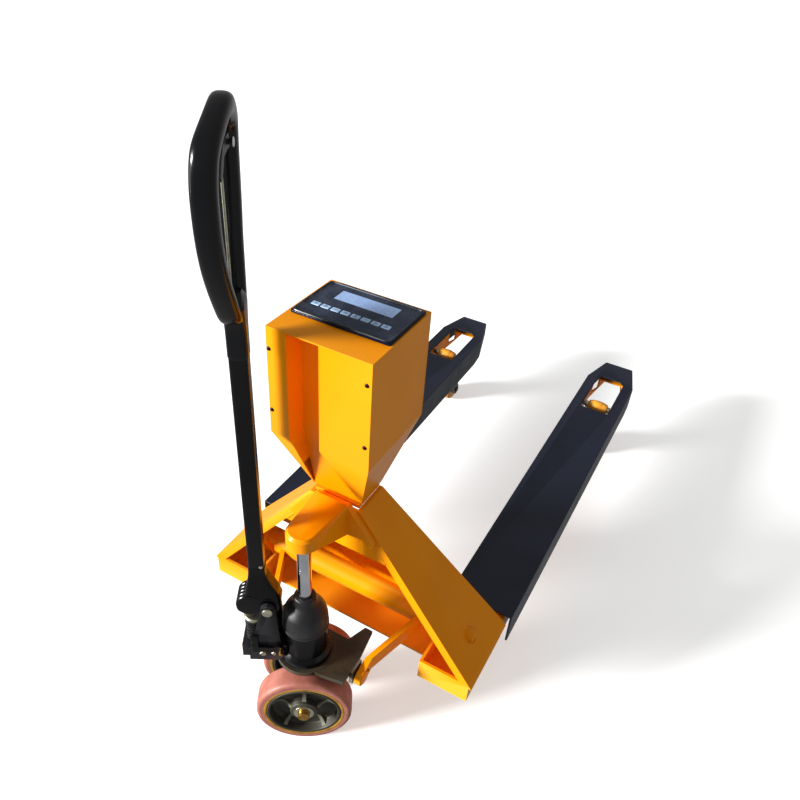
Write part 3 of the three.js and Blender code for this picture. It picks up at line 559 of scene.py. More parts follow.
def softened(node: str, bevel_mm: float, finish: Finish, name: str = "") -> bpy.types.Object:
    """A copy of a CAD node with its flat faces whole and its edges rounded, standing for that node.

    Args:
        node: the CAD node.
        bevel_mm: how far each edge is rounded.
        finish: what it is made of.
        name: the piece's name, or empty for the node's name with "_skin".

    Returns:
        The new piece, riding on the node's body.
    """
    source = frame["nodes"][node]
    mesh = source.data.copy()
    mesh.materials.clear()
    work = bmesh.new()
    work.from_mesh(mesh)
    bmesh.ops.remove_doubles(work, verts=work.verts, dist=2e-6)
    bmesh.ops.dissolve_limit(work, angle_limit=math.radians(1.0), verts=work.verts, edges=work.edges)
    work.to_mesh(mesh)
    work.free()
    made = settled(name or node + "_skin", mesh, math.radians(30), False)
    bevel = made.modifiers.new("rounded_edges", "BEVEL")
    bevel.width = bevel_mm * MM
    bevel.segments = 3
    bevel.limit_method = "ANGLE"
    bevel.angle_limit = math.radians(32)
    bevel.harden_normals = True
    return dressed(made, finish, source["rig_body"], node)


def dressed(piece: bpy.types.Object, finish: Finish, body: str, *nodes: str) -> bpy.types.Object:
    """Gives a piece its finish and body, and hides the CAD nodes that it stands for.

    Args:
        piece: the object.
        finish: what it is made of.
        body: the body that it moves with.
        nodes: CAD nodes that it stands for.

    Returns:
        The same object.
    """
    piece.data.materials.clear()
    piece.data.materials.append(finish.material())
    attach(piece, body)
    if nodes:
        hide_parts(*nodes)
    LOG.info("%s rides on %s in %s", piece.name, body, finish.name)
    return piece


def merged(name: str, pieces: list[bpy.types.Object]) -> bpy.types.Object:
    """Joins several small pieces of one material into one object of separate closed parts.

    Args:
        name: the new object's name.
        pieces: the objects to join, which are removed.

    Returns:
        The new object.
    """
    work = bmesh.new()
    for piece in pieces:
        work.from_mesh(piece.data)
    mesh = bpy.data.meshes.new(name)
    work.to_mesh(mesh)
    work.free()
    for piece in pieces:
        bpy.data.objects.remove(piece)
    return settled(name, mesh, math.radians(35), False)


def refinished(node: str, finish: Finish) -> None:
    """Gives a CAD node that stays visible a finish in place of its plain one.

    Args:
        node: the CAD node.
        finish: what it is made of.
    """
    slots = frame["nodes"][node].data.materials
    slots.clear()
    slots.append(finish.material())


def node_points(node: str) -> np.ndarray:
    """A CAD node's corner points in the row frame, in metres."""
    mesh = frame["nodes"][node].data
    points = np.zeros(len(mesh.vertices) * 3, np.float32)
    mesh.vertices.foreach_get("co", points)
    return points.reshape(-1, 3).astype(float)


def joint(name: str) -> dict:
    """The frame's joint of that name."""
    return next(j for j in frame["joints"] if j["name"] == name)


@dataclass
class SteeredFrame:
    """Directions of the turned pump: across its axle, forwards to the forks, and up."""

    origin: Vector = field(init=False)
    across: Vector = field(init=False)
    forward: Vector = field(init=False)
    up: Vector = field(default_factory=lambda: Vector((0, 0, 1)))

    def __post_init__(self) -> None:
        """Reads the pump's axis and the axle's direction from the joints."""
        pump_axis = joint("steer")["pos_m"]
        self.origin = Vector((pump_axis[0], pump_axis[1], 0))
        self.across = Vector(joint("handle_tilt")["axis"]).normalized()
        self.forward = self.up.cross(self.across)

    def point(self, x: float, y: float, z: float) -> Vector:
        """A point given in millimetres across, forward and up."""
        offset = float(x) * self.across + float(y) * self.forward + float(z) * self.up
        return self.origin + MM * offset

    def place(self, points: np.ndarray) -> np.ndarray:
        """Points in millimetres in this frame, turned into the row frame in metres."""
        basis = np.array([self.across, self.forward, self.up])
        return points @ basis * MM + np.array(self.origin)

    def lofted(self, name: str, outlines: np.ndarray, heights: np.ndarray) -> bpy.types.Object:
        """A closed skin over level outlines, one at each height.

        Args:
            name: the piece's name.
            outlines: heights, points, xy, in millimetres in this frame.
            heights: the outlines' heights in millimetres.

        Returns:
            The piece.
        """
        levels = np.repeat(heights[:, None, None], outlines.shape[1], axis=1)
        points = np.concatenate([outlines, levels], axis=-1)
        return surface(name, self.place(points), caps=True)

    def box(self, node: str) -> tuple[np.ndarray, np.ndarray]:
        """A node's extent in this frame.

        Args:
            node: the CAD node.

        Returns:
            Its lowest and highest corner, in millimetres.
        """
        basis = np.array([self.across, self.forward, self.up])
        local = (node_points(node) - np.array(self.origin)) @ basis.T / MM
        return local.min(axis=0), local.max(axis=0)


# ---- Sub-assemblies -------------------------------------------------------------------------------
@dataclass
class Forks:
    """The two weighing forks, with what runs in and under them.

    Attributes:
        sheet_bevel: rounding of the pressed top's edges, in millimetres.
        roller_segments: points round a roller.
        axle_bore: radius of a load roller's bore, in millimetres.
    """

    sheet_bevel: float = 2.2
    roller_segments: int = 40
    axle_bore: float = 9.3

    def build(self) -> None:
        """Makes both forks."""
        for word, _ in SIDES:
            softened(f"load_shell_{word}", self.sheet_bevel, NAVY)
            softened(f"chassis_fork_{word}", 1.0, YELLOW)
            softened(f"load_arm_{word}", 1.2, BLACK)
            self._load_roller(word)
            self._guide_roller(word)
            for place in ("rear", "front"):
                softened(f"load_cell_{word}_{place}", 0.8, ALUMINIUM)
            softened(f"push_rod_{word}", 0.5, ZINC)

    def _load_roller(self, word: str) -> None:
        """A barrel of polyurethane with rounded shoulders, bored for its axle.

        Args:
            word: left or right.
        """
        low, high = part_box(f"load_roller_{word}")
        half, radius = (high.x - low.x) / 2 / MM, (high.z - low.z) / 2 / MM
        profile = [(self.axle_bore, -half), (radius - 5, -half), (radius, -half + 6),
                   (radius, half - 6), (radius - 5, half), (self.axle_bore, half)]
        piece = turned(f"load_roller_{word}_tread", rounded(profile, 3.0), (low + high) / 2,
                       Vector((1, 0, 0)), self.roller_segments)
        dressed(piece, AMBER, f"load_wheel_{word}", f"load_roller_{word}")

    def _guide_roller(self, word: str) -> None:
        """A barrel roller in the slot, between two bright spacers on its pin.

        The radius falls from the middle by 5.5 (h / half)^2.4 mm, and two shallow bell-shaped
        grooves run round it at 0.55 of the half length.

        Args:
            word: left or right.
        """
        low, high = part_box(f"guide_roller_{word}")
        half, radius = (high.x - low.x) / 2 / MM, (high.z - low.z) / 2 / MM
        centre = (low + high) / 2
        height = np.linspace(-half, half, 25)
        bulge = radius - 5.5 * (np.abs(height) / half) ** 2.4
        groove = 0.8 * np.exp(-((np.abs(height) - 0.55 * half) ** 2) / 6)
        profile = [(7.3, -half), *zip(bulge - groove, height), (7.3, half)]
        piece = turned(f"guide_roller_{word}_tread", profile, centre, Vector((1, 0, 0)),
                       self.roller_segments)
        dressed(piece, AMBER, f"guide_wheel_{word}", f"guide_roller_{word}")
        pin_low, pin_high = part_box(f"guide_pin_{word}")
        reach = (pin_high.x - pin_low.x) / 2 / MM
        collars = []
        for end in (-1, 1):
            start, stop = sorted((end * (half + 1.0), end * (half + 9.0)))
            ring = [(7.05, start), (11, start), (11, stop), (7.05, stop)]
            collars.append(turned("collar", rounded(ring, 0.8), centre, Vector((1, 0, 0))))
        spacers = merged(f"guide_spacers_{word}", collars)
        dressed(spacers, ZINC, "frame")
        shaft = [(0, -reach), (6, -reach), (7, -reach + 1), (7, reach - 1), (6, reach), (0, reach)]
        pin = turned(f"guide_pin_{word}_bright", shaft, centre, Vector((1, 0, 0)), 24)
        dressed(pin, ZINC, "frame", f"guide_pin_{word}")


@dataclass
class Frame:
    """The A-frame: legs, plates, head casting, piston rod, rocker and thrust plate.

    Attributes:
        bead_radius: radius of a weld bead, in millimetres.
        bead_pitch: length of one ripple of a bead, in millimetres.
        eye_reach: how far an arm's eye reaches back from the rocker's front, in metres.
        eye_centre: the eye's middle behind the rocker's front, in metres.
    """

    bead_radius: float = 2.4
    bead_pitch: float = 5.0
    eye_reach: float = 0.03
    eye_centre: float = 0.018

    def build(self) -> None:
        """Makes the frame's pieces."""
        for word, side in SIDES:
            softened(f"frame_leg_{word}", 1.4, YELLOW)
            self._leg_weld(word, side)
            self._shaft_end(word, side)
        softened("front_cross_plate", 1.0, YELLOW)
        softened("heel_plate", 1.4, YELLOW)
        softened("crown_plate", 1.0, YELLOW)
        softened("rocker", 1.6, YELLOW)
        softened("thrust_plate", 1.0, OLIVE)
        self._eye_caps()
        softened("head_casting", 5.0, YELLOW)
        refinished("thrust_bearing", ZINC)
        self._piston_rod()

    def _eye_caps(self) -> None:
        """Caps that cover the slotted eyes of the rocker's long arms on their outer faces."""
        low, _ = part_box("rocker")
        eye = node_points("rocker")
        eye = eye[eye[:, 1] < low.y + self.eye_reach]
        start = np.abs(eye[:, 0]).max() / MM
        spot = Vector((0, low.y + self.eye_centre, (eye[:, 2].min() + eye[:, 2].max()) / 2))
        ring = [(0, start), (15, start), (15, start + 1.4), (13.5, start + 2.0), (0, start + 2.0)]
        caps = []
        for _, side in SIDES:
            caps.append(turned("cap", ring, spot, Vector((side, 0, 0)), 36))
        dressed(merged("rocker_eye_caps", caps), YELLOW, "rocker")

    def _leg_weld(self, word: str, side: float) -> None:
        """A ripple of weld metal where the cross plate meets a leg.

        The bead is a tube along the joint whose radius swells by a cosine once per ripple.

        Args:
            word: left or right.
            side: -1 for left and 1 for right.
        """
        low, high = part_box("front_cross_plate")
        points = node_points("front_cross_plate")
        front = points[np.abs(points[:, 1] - low.y) < 1e-5]
        foot = front[np.argmax(side * front[:, 0])]
        upper = front[np.abs(front[:, 2] - high.z) < 1e-5]
        head = upper[np.argmax(side * upper[:, 0])]
        length = np.linalg.norm(head - foot)
        steps = int(length / (self.bead_pitch * MM) * 6)
        t = np.linspace(0.02, 0.98, steps)[:, None]
        path = foot + (head - foot) * t + np.array([0, -0.0002, 0])
        bead = swept(f"leg_weld_{word}", path, self.bead_radius * MM, sides=10)
        points = np.zeros(len(bead.data.vertices) * 3)
        bead.data.vertices.foreach_get("co", points)
        points = points.reshape(-1, 3)
        reach = (points - foot) @ (head - foot) / length
        centre = foot + np.outer(reach / length, head - foot)
        swell = 1 + 0.16 * np.cos(2 * np.pi * reach / (self.bead_pitch * MM))
        moved = centre + (points - centre) * swell[:, None] * np.array([1, 0.55, 1])
        bead.data.vertices.foreach_set("co", moved.ravel())
        dressed(bead, YELLOW, "frame")

    def _shaft_end(self, word: str, side: float) -> None:
        """The torsion shaft's end in the leg: a domed disc on the leg's outer face.

        Args:
            word: left or right.
            side: -1 for left and 1 for right.
        """
        _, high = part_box("rocker")
        pivot = Vector(joint("rocker_turn")["pos_m"])
        tip = Vector((side * high.x, pivot.y, pivot.z))
        disc = [(0, 1.2), (3, 1.2), (4, 2.0), (12.4, 2.0), (13.4, 1.0), (13.4, 0.0), (0, 0.0)]
        face = turned(f"shaft_end_{word}", disc, tip, Vector((side, 0, 0)), 40)
        dressed(face, YELLOW, "rocker")

    def _piston_rod(self) -> None:
        """The ground rod, chamfered at both ends."""
        low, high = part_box("piston_rod")
        radius, height = (high.x - low.x) / 2 / MM, (high.z - low.z) / MM
        centre = Vector(((low.x + high.x) / 2, (low.y + high.y) / 2, low.z))
        shape = [(0, 0), (radius - 1, 0), (radius, 1), (radius, height - 1),
                 (radius - 1, height), (0, height)]
        rod = turned("piston_rod_ground", shape, centre, Vector((0, 0, 1)), 64)
        dressed(rod, CHROME, "frame", "piston_rod")


@dataclass
class Pump:
    """The steered pump with its boot, plunger, valve lever, axle and wheels.

    Attributes:
        steered: the directions of the turned pump.
        hub_ribs: ribs in each wheel's hub.
        plugs: across, forward, up, radius and length of each hexagon plug, in millimetres.
        relief_spot: the relief screw's seat: across, forward and up, in millimetres.
        nipple_spot: the grease nipple's seat in the same way.
        wire: radius of the plunger spring's wire, in millimetres.
        coils: turns of the plunger spring.
    """

    steered: SteeredFrame
    hub_ribs: int = 5
    plugs: tuple = ((32.5, -84, 240, 7.0, 6.0), (32.5, -62, 240, 5.5, 5.0))
    relief_spot: tuple[float, float, float] = (33, -47, 250)
    nipple_spot: tuple[float, float, float] = (27, -10, 210)
    wire: float = 2.6
    coils: float = 6.5

    def build(self) -> None:
        """Makes everything that steers, up to the tiller."""
        softened("pump_body", 1.6, BLACK)
        softened("valve_lever", 1.0, SPRING)
        softened("cam_roller", 0.6, CHROME)
        self._boot()
        self._plunger()
        self._spring()
        self._axle()
        self._pivot_pin()
        self._fittings()
        for word, side in SIDES:
            self._tyre(word)
            self._hub(word, side)

    def _boot(self) -> None:
        """The rubber dome over the pump's neck: a soft cone on a straight skirt with a rolled lip."""
        low, high = self.steered.box("pump_boot")
        top, foot = high[2], low[2]
        skirt = high[0]
        outside = [
            (14.6, top - 1), (20, top), (22.5, top - 3), (23, top - 13), (25, top - 21), (35, top - 31),
            (42.5, top - 42), (skirt - 0.6, top - 60), (skirt, foot + 16), (skirt - 0.4, foot + 9),
            (skirt + 1.2, foot + 6), (skirt + 1.2, foot + 1.5), (skirt - 1, foot)]
        inside = [(skirt - 3, foot), (40, top - 50), (21, top - 25), (14.6, top - 12)]
        profile = np.concatenate([rounded(outside, 6.0, 5), np.array(inside)])
        boot = turned("pump_boot_rubber", profile, self.steered.point(0, 0, 0), self.steered.up, 72)
        dressed(boot, RUBBER, "pump", "pump_boot")

    def _plunger(self) -> None:
        """The pumping plunger: a ground pin under a flat cap, clear of the pump's bore and ears."""
        low, high = self.steered.box("pump_plunger")
        y = (low[1] + high[1]) / 2
        cap = high[0] - 0.8
        foot = low[2] + 4
        shape = [(0, foot), (13.6, foot), (14.6, foot + 1), (14.6, high[2] - 8), (cap, high[2] - 8),
                 (cap, high[2] - 3), (cap - 3, high[2] - 0.4), (0, high[2])]
        piece = turned("plunger_capped", rounded(shape, 1.2), self.steered.point(0, y, 0),
                       self.steered.up, 48)
        dressed(piece, ZINC, "plunger", "pump_plunger")

    def _spring(self) -> None:
        """The plunger's return spring: a helix with closed end coils.

        Height grows as a smoothed step of the turn, so that the first and last coils lie flat.
        """
        low, high = self.steered.box("plunger_spring")
        wire = self.wire
        t = np.linspace(0, 1, 240)
        pitch = 0.25 * smooth(t, 0, 1) + 0.75 * t
        radius = high[0] - wire - 0.1
        y = (low[1] + high[1]) / 2
        angle = 2 * np.pi * self.coils * t
        rise = low[2] + wire + (high[2] - low[2] - 2 * wire) * pitch
        path = np.stack([radius * np.cos(angle), y + radius * np.sin(angle), rise], axis=-1)
        spring = swept("plunger_coil", self.steered.place(path), wire * MM, sides=10)
        dressed(spring, SPRING, "pump", "plunger_spring")
        seat = tuple(self.steered.point(0, y, low[2]))
        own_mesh(spring)

    def _axle(self) -> None:
        """The wheel axle, chamfered at both ends."""
        low, high = self.steered.box("wheel_axle")
        radius, reach = (high[2] - low[2]) / 2, high[0]
        centre = self.steered.point(0, 0, (high[2] + low[2]) / 2)
        shape = [(0, -reach), (radius - 1.5, -reach), (radius, -reach + 1.5), (radius, reach - 1.5),
                 (radius - 1.5, reach), (0, reach)]
        axle = turned("wheel_axle_turned", shape, centre, self.steered.across, 40)
        dressed(axle, BRASS, "pump", "wheel_axle")

    def _pivot_pin(self) -> None:
        """The tiller's pivot pin, with a zinc plated head on one side and a chamfer on the other."""
        low, high = self.steered.box("handle_pivot_pin")
        y, z = (low[1] + high[1]) / 2, (low[2] + high[2]) / 2
        radius = (high[2] - low[2]) / 2
        end = high[0]
        shape = [(0, -end), (radius - 1, -end), (radius, -end + 1), (radius, end - 3.5),
                 (radius + 2.2, end - 3.5), (radius + 2.2, end - 0.8), (radius + 1.4, end), (0, end)]
        pin = turned("pivot_pin_plated", shape, self.steered.point(0, y, z), self.steered.across, 40)
        dressed(pin, ZINC, "pump", "handle_pivot_pin")

    def _fittings(self) -> None:
        """Hexagon plugs, a brass relief screw and a grease nipple on the pump body."""
        across = self.steered.across
        plugs = []
        for x, y, z, radius, length in self.plugs:
            hexagon = [(0, 0), (radius, 0), (radius, length - 1), (radius - 1, length), (0, length)]
            plugs.append(turned("plug", hexagon, self.steered.point(x, y, z), across, 6))
        dressed(merged("pump_plugs", plugs), ZINC, "pump")
        relief = [(0, 0), (6, 0), (6, 6), (4.5, 7), (4.5, 13), (3, 14), (0, 14)]
        screw = turned("relief_screw", relief, self.steered.point(*self.relief_spot), across, 6)
        dressed(screw, BRASS, "pump")
        nipple = [(0, 0), (3.4, 0), (3.4, 4), (2.2, 6), (3.0, 8), (2.0, 10), (0, 10.5)]
        grease = turned("grease_nipple", nipple, self.steered.point(*self.nipple_spot), across, 16)
        dressed(grease, ZINC, "pump")

    def _tyre(self, word: str) -> None:
        """A polyurethane tread bonded round a gold rim band.

        Args:
            word: left or right.
        """
        low, high = self.steered.box(f"wheel_tyre_{word}")
        half, radius = (high[0] - low[0]) / 2, (high[2] - low[2]) / 2
        centre = self.steered.point((high[0] + low[0]) / 2, 0, radius)
        inner, band = 85.0, 78.0
        tread = [(inner, -half + 0.6), (radius - 6, -half + 0.3), (radius - 1.2, -half + 3.5),
                 (radius, -half + 9), (radius, half - 9), (radius - 1.2, half - 3.5),
                 (radius - 6, half - 0.3), (inner, half - 0.6)]
        body = f"steer_wheel_{word}"
        across = self.steered.across
        tyre = turned(f"tread_{word}", rounded(tread, 4.0, 6), centre, across, 96)
        dressed(tyre, RED_TREAD, body, f"wheel_tyre_{word}")
        ring = [(band, -half + 2), (band + 1.5, -half + 0.4), (inner - 0.2, -half + 0.4),
                (inner - 0.2, half - 0.4), (band + 1.5, half - 0.4), (band, half - 2)]
        gold = turned(f"rim_band_{word}", rounded(ring, 1.0), centre, across, 96)
        dressed(gold, GOLD_BAND, body)

    def _hub(self, word: str, side: float) -> None:
        """A cast hub: a dished web with a boss and rim, and ribs that run from boss to rim.

        Args:
            word: left or right.
            side: -1 for left and 1 for right.
        """
        low, high = self.steered.box(f"wheel_hub_{word}")
        half, radius = (high[0] - low[0]) / 2, (high[2] - low[2]) / 2
        centre = self.steered.point((high[0] + low[0]) / 2, 0, (high[2] + low[2]) / 2)
        face = side * half
        profile = [
            (12.8, -half + 2), (29, -half + 2), (31, -8), (60, -5), (radius - 9, -8),
            (radius - 6, -half), (radius, -half), (radius, half), (radius - 6, half),
            (radius - 9, 8), (60, 5), (31, 8), (29, half - 2), (12.8, half - 2)]
        across = self.steered.across
        hub = turned(f"hub_casting_{word}", rounded(profile, 2.5), centre, across, 72)
        dressed(hub, IRON, f"steer_wheel_{word}", f"wheel_hub_{word}")
        turns = [2 * math.pi * i / self.hub_ribs for i in range(self.hub_ribs)]
        ribs = [self._rib(centre, face, radius, turn) for turn in turns]
        dressed(merged(f"hub_ribs_{word}", ribs), IRON, f"steer_wheel_{word}")
        inside, outside = side * (half - 2), side * (half + 1)
        ring = [(13, inside), (21, inside), (21, outside), (13, outside)]
        race = turned(f"hub_bearing_{word}", rounded(ring, 0.8), centre, across, 48)
        dressed(race, ZINC, f"steer_wheel_{word}")

    def _rib(self, centre: Vector, face: float, radius: float, angle: float) -> bpy.types.Object:
        """One rib of the hub: a plate from boss to rim, hollowed along its outer edge.

        With s from 0 at the boss to 1 at the rim, its half depth is the face's distance times
        0.82 - 0.55 sin(pi s), and its half thickness is 3.4 + 1.5 |2 s - 1|^3 mm.

        Args:
            centre: the hub's middle, in metres.
            face: how far the hub's outer face lies from its middle, in millimetres.
            radius: the hub's radius in millimetres.
            angle: where the rib stands round the hub, in radians.

        Returns:
            The rib.
        """
        reach = np.linspace(27, radius - 6, 12)
        share = (reach - reach[0]) / (reach[-1] - reach[0])
        depth = abs(face) * (0.82 - 0.55 * np.sin(np.pi * share))
        thick = 3.4 + 1.5 * np.abs(2 * share - 1) ** 3
        up = np.array(self.steered.up)
        forward = np.array(self.steered.forward)
        out = math.cos(angle) * up + math.sin(angle) * forward
        beside = -math.sin(angle) * up + math.cos(angle) * forward
        across = np.array(self.steered.across)
        corners = []
        for edge, lift in ((-1, -1), (1, -1), (1, 1), (-1, 1)):
            corners.append(reach[:, None] * out + (edge * thick)[:, None] * beside
                           + (lift * depth)[:, None] * across)
        grid = np.stack(corners, axis=1) * MM + np.array(centre)
        return surface("rib", grid, caps=True)


@dataclass
class Tiller:
    """The handle: bracket, tube, grip loop and release lever.

    Attributes:
        steered: the directions of the turned pump.
        section_points: points round the grip's bar.
        bar_half: half the bar's thickness at the top of the loop, in millimetres.
        drum_radius: the ribbed drum's radius in millimetres.
        rib_pitch: distance from one of the drum's ribs to the next, in millimetres.
        half_loop: the centre line of the loop's one half, from its foot to its top.
    """

    steered: SteeredFrame
    section_points: int = 32
    bar_half: float = 14.0
    drum_radius: float = 28.0
    rib_pitch: float = 8.6
    half_loop: tuple = (
        (0, -91, 1014), (22, -92, 1023), (42, -95, 1060), (60, -98, 1106), (72, -99, 1150),
        (77, -99, 1195), (76, -98, 1235), (66, -95, 1268), (36, -89, 1292), (0, -85, 1306))

    def build(self) -> None:
        """Makes the handle's pieces."""
        self._bracket()
        self._tube()
        self._loop()
        self._rivets()
        softened("release_lever", 1.6, PLASTIC)
        self._lever_pin()
        refinished("pull_rod", ZINC)

    def _tube(self) -> None:
        """The rectangular tube with rounded corners, closed at its ends by what it joins."""
        low, high = self.steered.box("handle_shaft")
        half_x, half_y = (high[0] - low[0]) / 2, (high[1] - low[1]) / 2
        z = np.array([low[2], low[2] + 0.8, (low[2] + high[2]) / 2, high[2] - 0.8, high[2]])
        inset = np.array([0.8, 0, 0, 0, 0.8])
        outline = superellipse(half_x - inset, half_y - inset, 7.0, 56)
        centre = (low + high) / 2
        tube = self.steered.lofted("handle_tube", outline + centre[:2], z)
        dressed(tube, BLACK, "tiller", "handle_shaft")

    def _loop(self) -> None:
        """The grip: a fat oval bar round a peaked teardrop, on a stem that flares from the tube.

        The centre line is a closed Catmull-Rom curve through the half outline and its reflection.
        It runs in an upright plane and bows back over its middle. The bar's section is a
        superellipse, a little thicker in the upper part.
        """
        low, high = self.steered.box("grip_loop")
        peak = high[2] - self.bar_half
        half = np.array(self.half_loop, float)
        half[:, 2] += peak - half[-1, 2]
        mirrored = half[-2:0:-1] * np.array([-1, 1, 1])
        line = catmull_rom(np.concatenate([half, mirrored]), 10)
        ahead = np.roll(line, -1, axis=0) - np.roll(line, 1, axis=0)
        ahead /= np.linalg.norm(ahead, axis=1, keepdims=True)
        outward = np.stack([ahead[:, 2], np.zeros(len(line)), -ahead[:, 0]], axis=-1)
        share = smooth(line[:, 2], peak - 290.0, peak - 150.0)
        crest = smooth(line[:, 2], peak - 40.0, peak)
        half_out = 12.8 + 1.2 * share
        half_deep = 16.8 + 0.4 * share - 2.4 * crest
        section = superellipse(half_out, half_deep, 2.8, self.section_points)
        deep = np.array([0, 1, 0])
        grid = line[:, None] + section[..., :1] * outward[:, None] + section[..., 1:] * deep
        ring = surface("grip_ring", self.steered.place(grid), along=True)
        shaft_low, shaft_high = self.steered.box("handle_shaft")
        neck = shaft_high[2] + 67.0
        z = np.linspace(low[2], neck, 26)
        half_x = 14.3 + 12.9 * smooth(z, shaft_high[2] - 5, neck - 7)
        half_y = np.full_like(z, 16.4)
        half_x[0] -= 1.2
        half_y[0] -= 1.2
        round_over = smooth(z, neck - 22, neck + 4)
        half_x *= 1 - 0.75 * round_over
        half_y *= 1 - 0.35 * round_over
        outline = superellipse(half_x, half_y, 4.5, 48)
        middle = ((shaft_low + shaft_high) / 2)[:2]
        stem = self.steered.lofted("stem", outline + middle, z)
        grip = merged("grip_moulding", [ring, stem])
        dressed(grip, GRIP, "tiller", "grip_loop")

    def _bracket(self) -> None:
        """The cast bracket: a shank that swells down to the pivot's hub, and a ribbed drum by it.

        The shank is a loft of superellipses. Its front and rear faces are smoothed steps of height.
        The drum's radius at length l is its full radius less 1.8 |sin(pi l / pitch)|^3 mm.
        """
        shaft_low, shaft_high = self.steered.box("handle_shaft")
        pin_low, pin_high = self.steered.box("handle_pivot_pin")
        cam_low, cam_high = self.steered.box("cam_roller")
        seam = shaft_low[2] - 0.4
        pivot_y, pivot_z = (pin_low[1] + pin_high[1]) / 2, (pin_low[2] + pin_high[2]) / 2
        drum_y, drum_z = (cam_low[1] + cam_high[1]) / 2 + 13.0, pivot_z + 2.0
        z = np.linspace(pivot_z - 6, seam, 30)
        z[-2] = seam - 0.8
        swell = 1 - smooth(z, pivot_z + 6, seam - 6)
        half_x = (shaft_high[0] + 1.0) + (22.0 - shaft_high[0] - 1.0) * swell
        rear = shaft_low[1] - 1.0 - 12.0 * swell
        front = shaft_high[1] + 1.0 + (pivot_y + 23.0 - shaft_high[1] - 1.0) * swell
        half_y = (front - rear) / 2
        half_x[-1] -= 0.8
        half_y[-1] -= 0.8
        outline = superellipse(half_x, half_y, 6.0, 56)
        outline[..., 1] += ((front + rear) / 2)[:, None]
        shank = self.steered.lofted("shank", outline, z)
        hub_shape = [(0, -22), (21, -22), (23.5, -20), (23.5, 20), (21, 22), (0, 22)]
        hub = turned("hub", rounded(hub_shape, 1.5), self.steered.point(0, pivot_y, pivot_z),
                     self.steered.across, 56)
        length = np.linspace(-21.5, 21.5, 87)
        radius = self.drum_radius - 1.8 * np.abs(np.sin(np.pi * length / self.rib_pitch)) ** 3
        drum_shape = [(0, -22.5), (22, -22.5), (26, -22.1), *zip(radius, length),
                      (26, 22.1), (22, 22.5), (0, 22.5)]
        drum = turned("drum", drum_shape, self.steered.point(0, drum_y, drum_z),
                      self.steered.across, 72)
        casting = merged("bracket_casting", [shank, hub, drum])
        dressed(casting, BLACK, "tiller", "handle_bracket")

    def _rivets(self) -> None:
        """The rivets that hold the tube on the bracket's spigot."""
        low, high = self.steered.box("handle_shaft")
        centre = (low + high) / 2
        heads = []
        for side in (-1, 1):
            dome = [(3.6, 0), (3.4, 0.8), (2.4, 1.5), (0, 1.9)]
            wall = centre[0] + side * (high[0] - centre[0])
            spot = self.steered.point(wall, centre[1] + 9, low[2] + 5)
            base = [(0, -0.5), (3.6, -0.5)]
            heads.append(turned("head", base + dome, spot, side * self.steered.across, 20))
        dressed(merged("bracket_rivets", heads), ZINC, "tiller")

    def _lever_pin(self) -> None:
        """The bright pin that the release lever turns on, with its two heads."""
        pivot = Vector(joint("lever_squeeze")["pos_m"])
        reach = 12.4
        shape = [(0, -reach - 1.2), (6, -reach - 1.2), (6.6, -reach - 0.4), (6.6, -reach),
                 (6.6, -reach + 0.2), (0, -reach + 0.2)]
        heads = []
        for side in (-1, 1):
            flipped = [(r, side * -h) for r, h in shape]
            heads.append(turned("head", flipped, pivot, self.steered.forward, 28))
        dressed(merged("lever_pin_heads", heads), CHROME, "tiller")


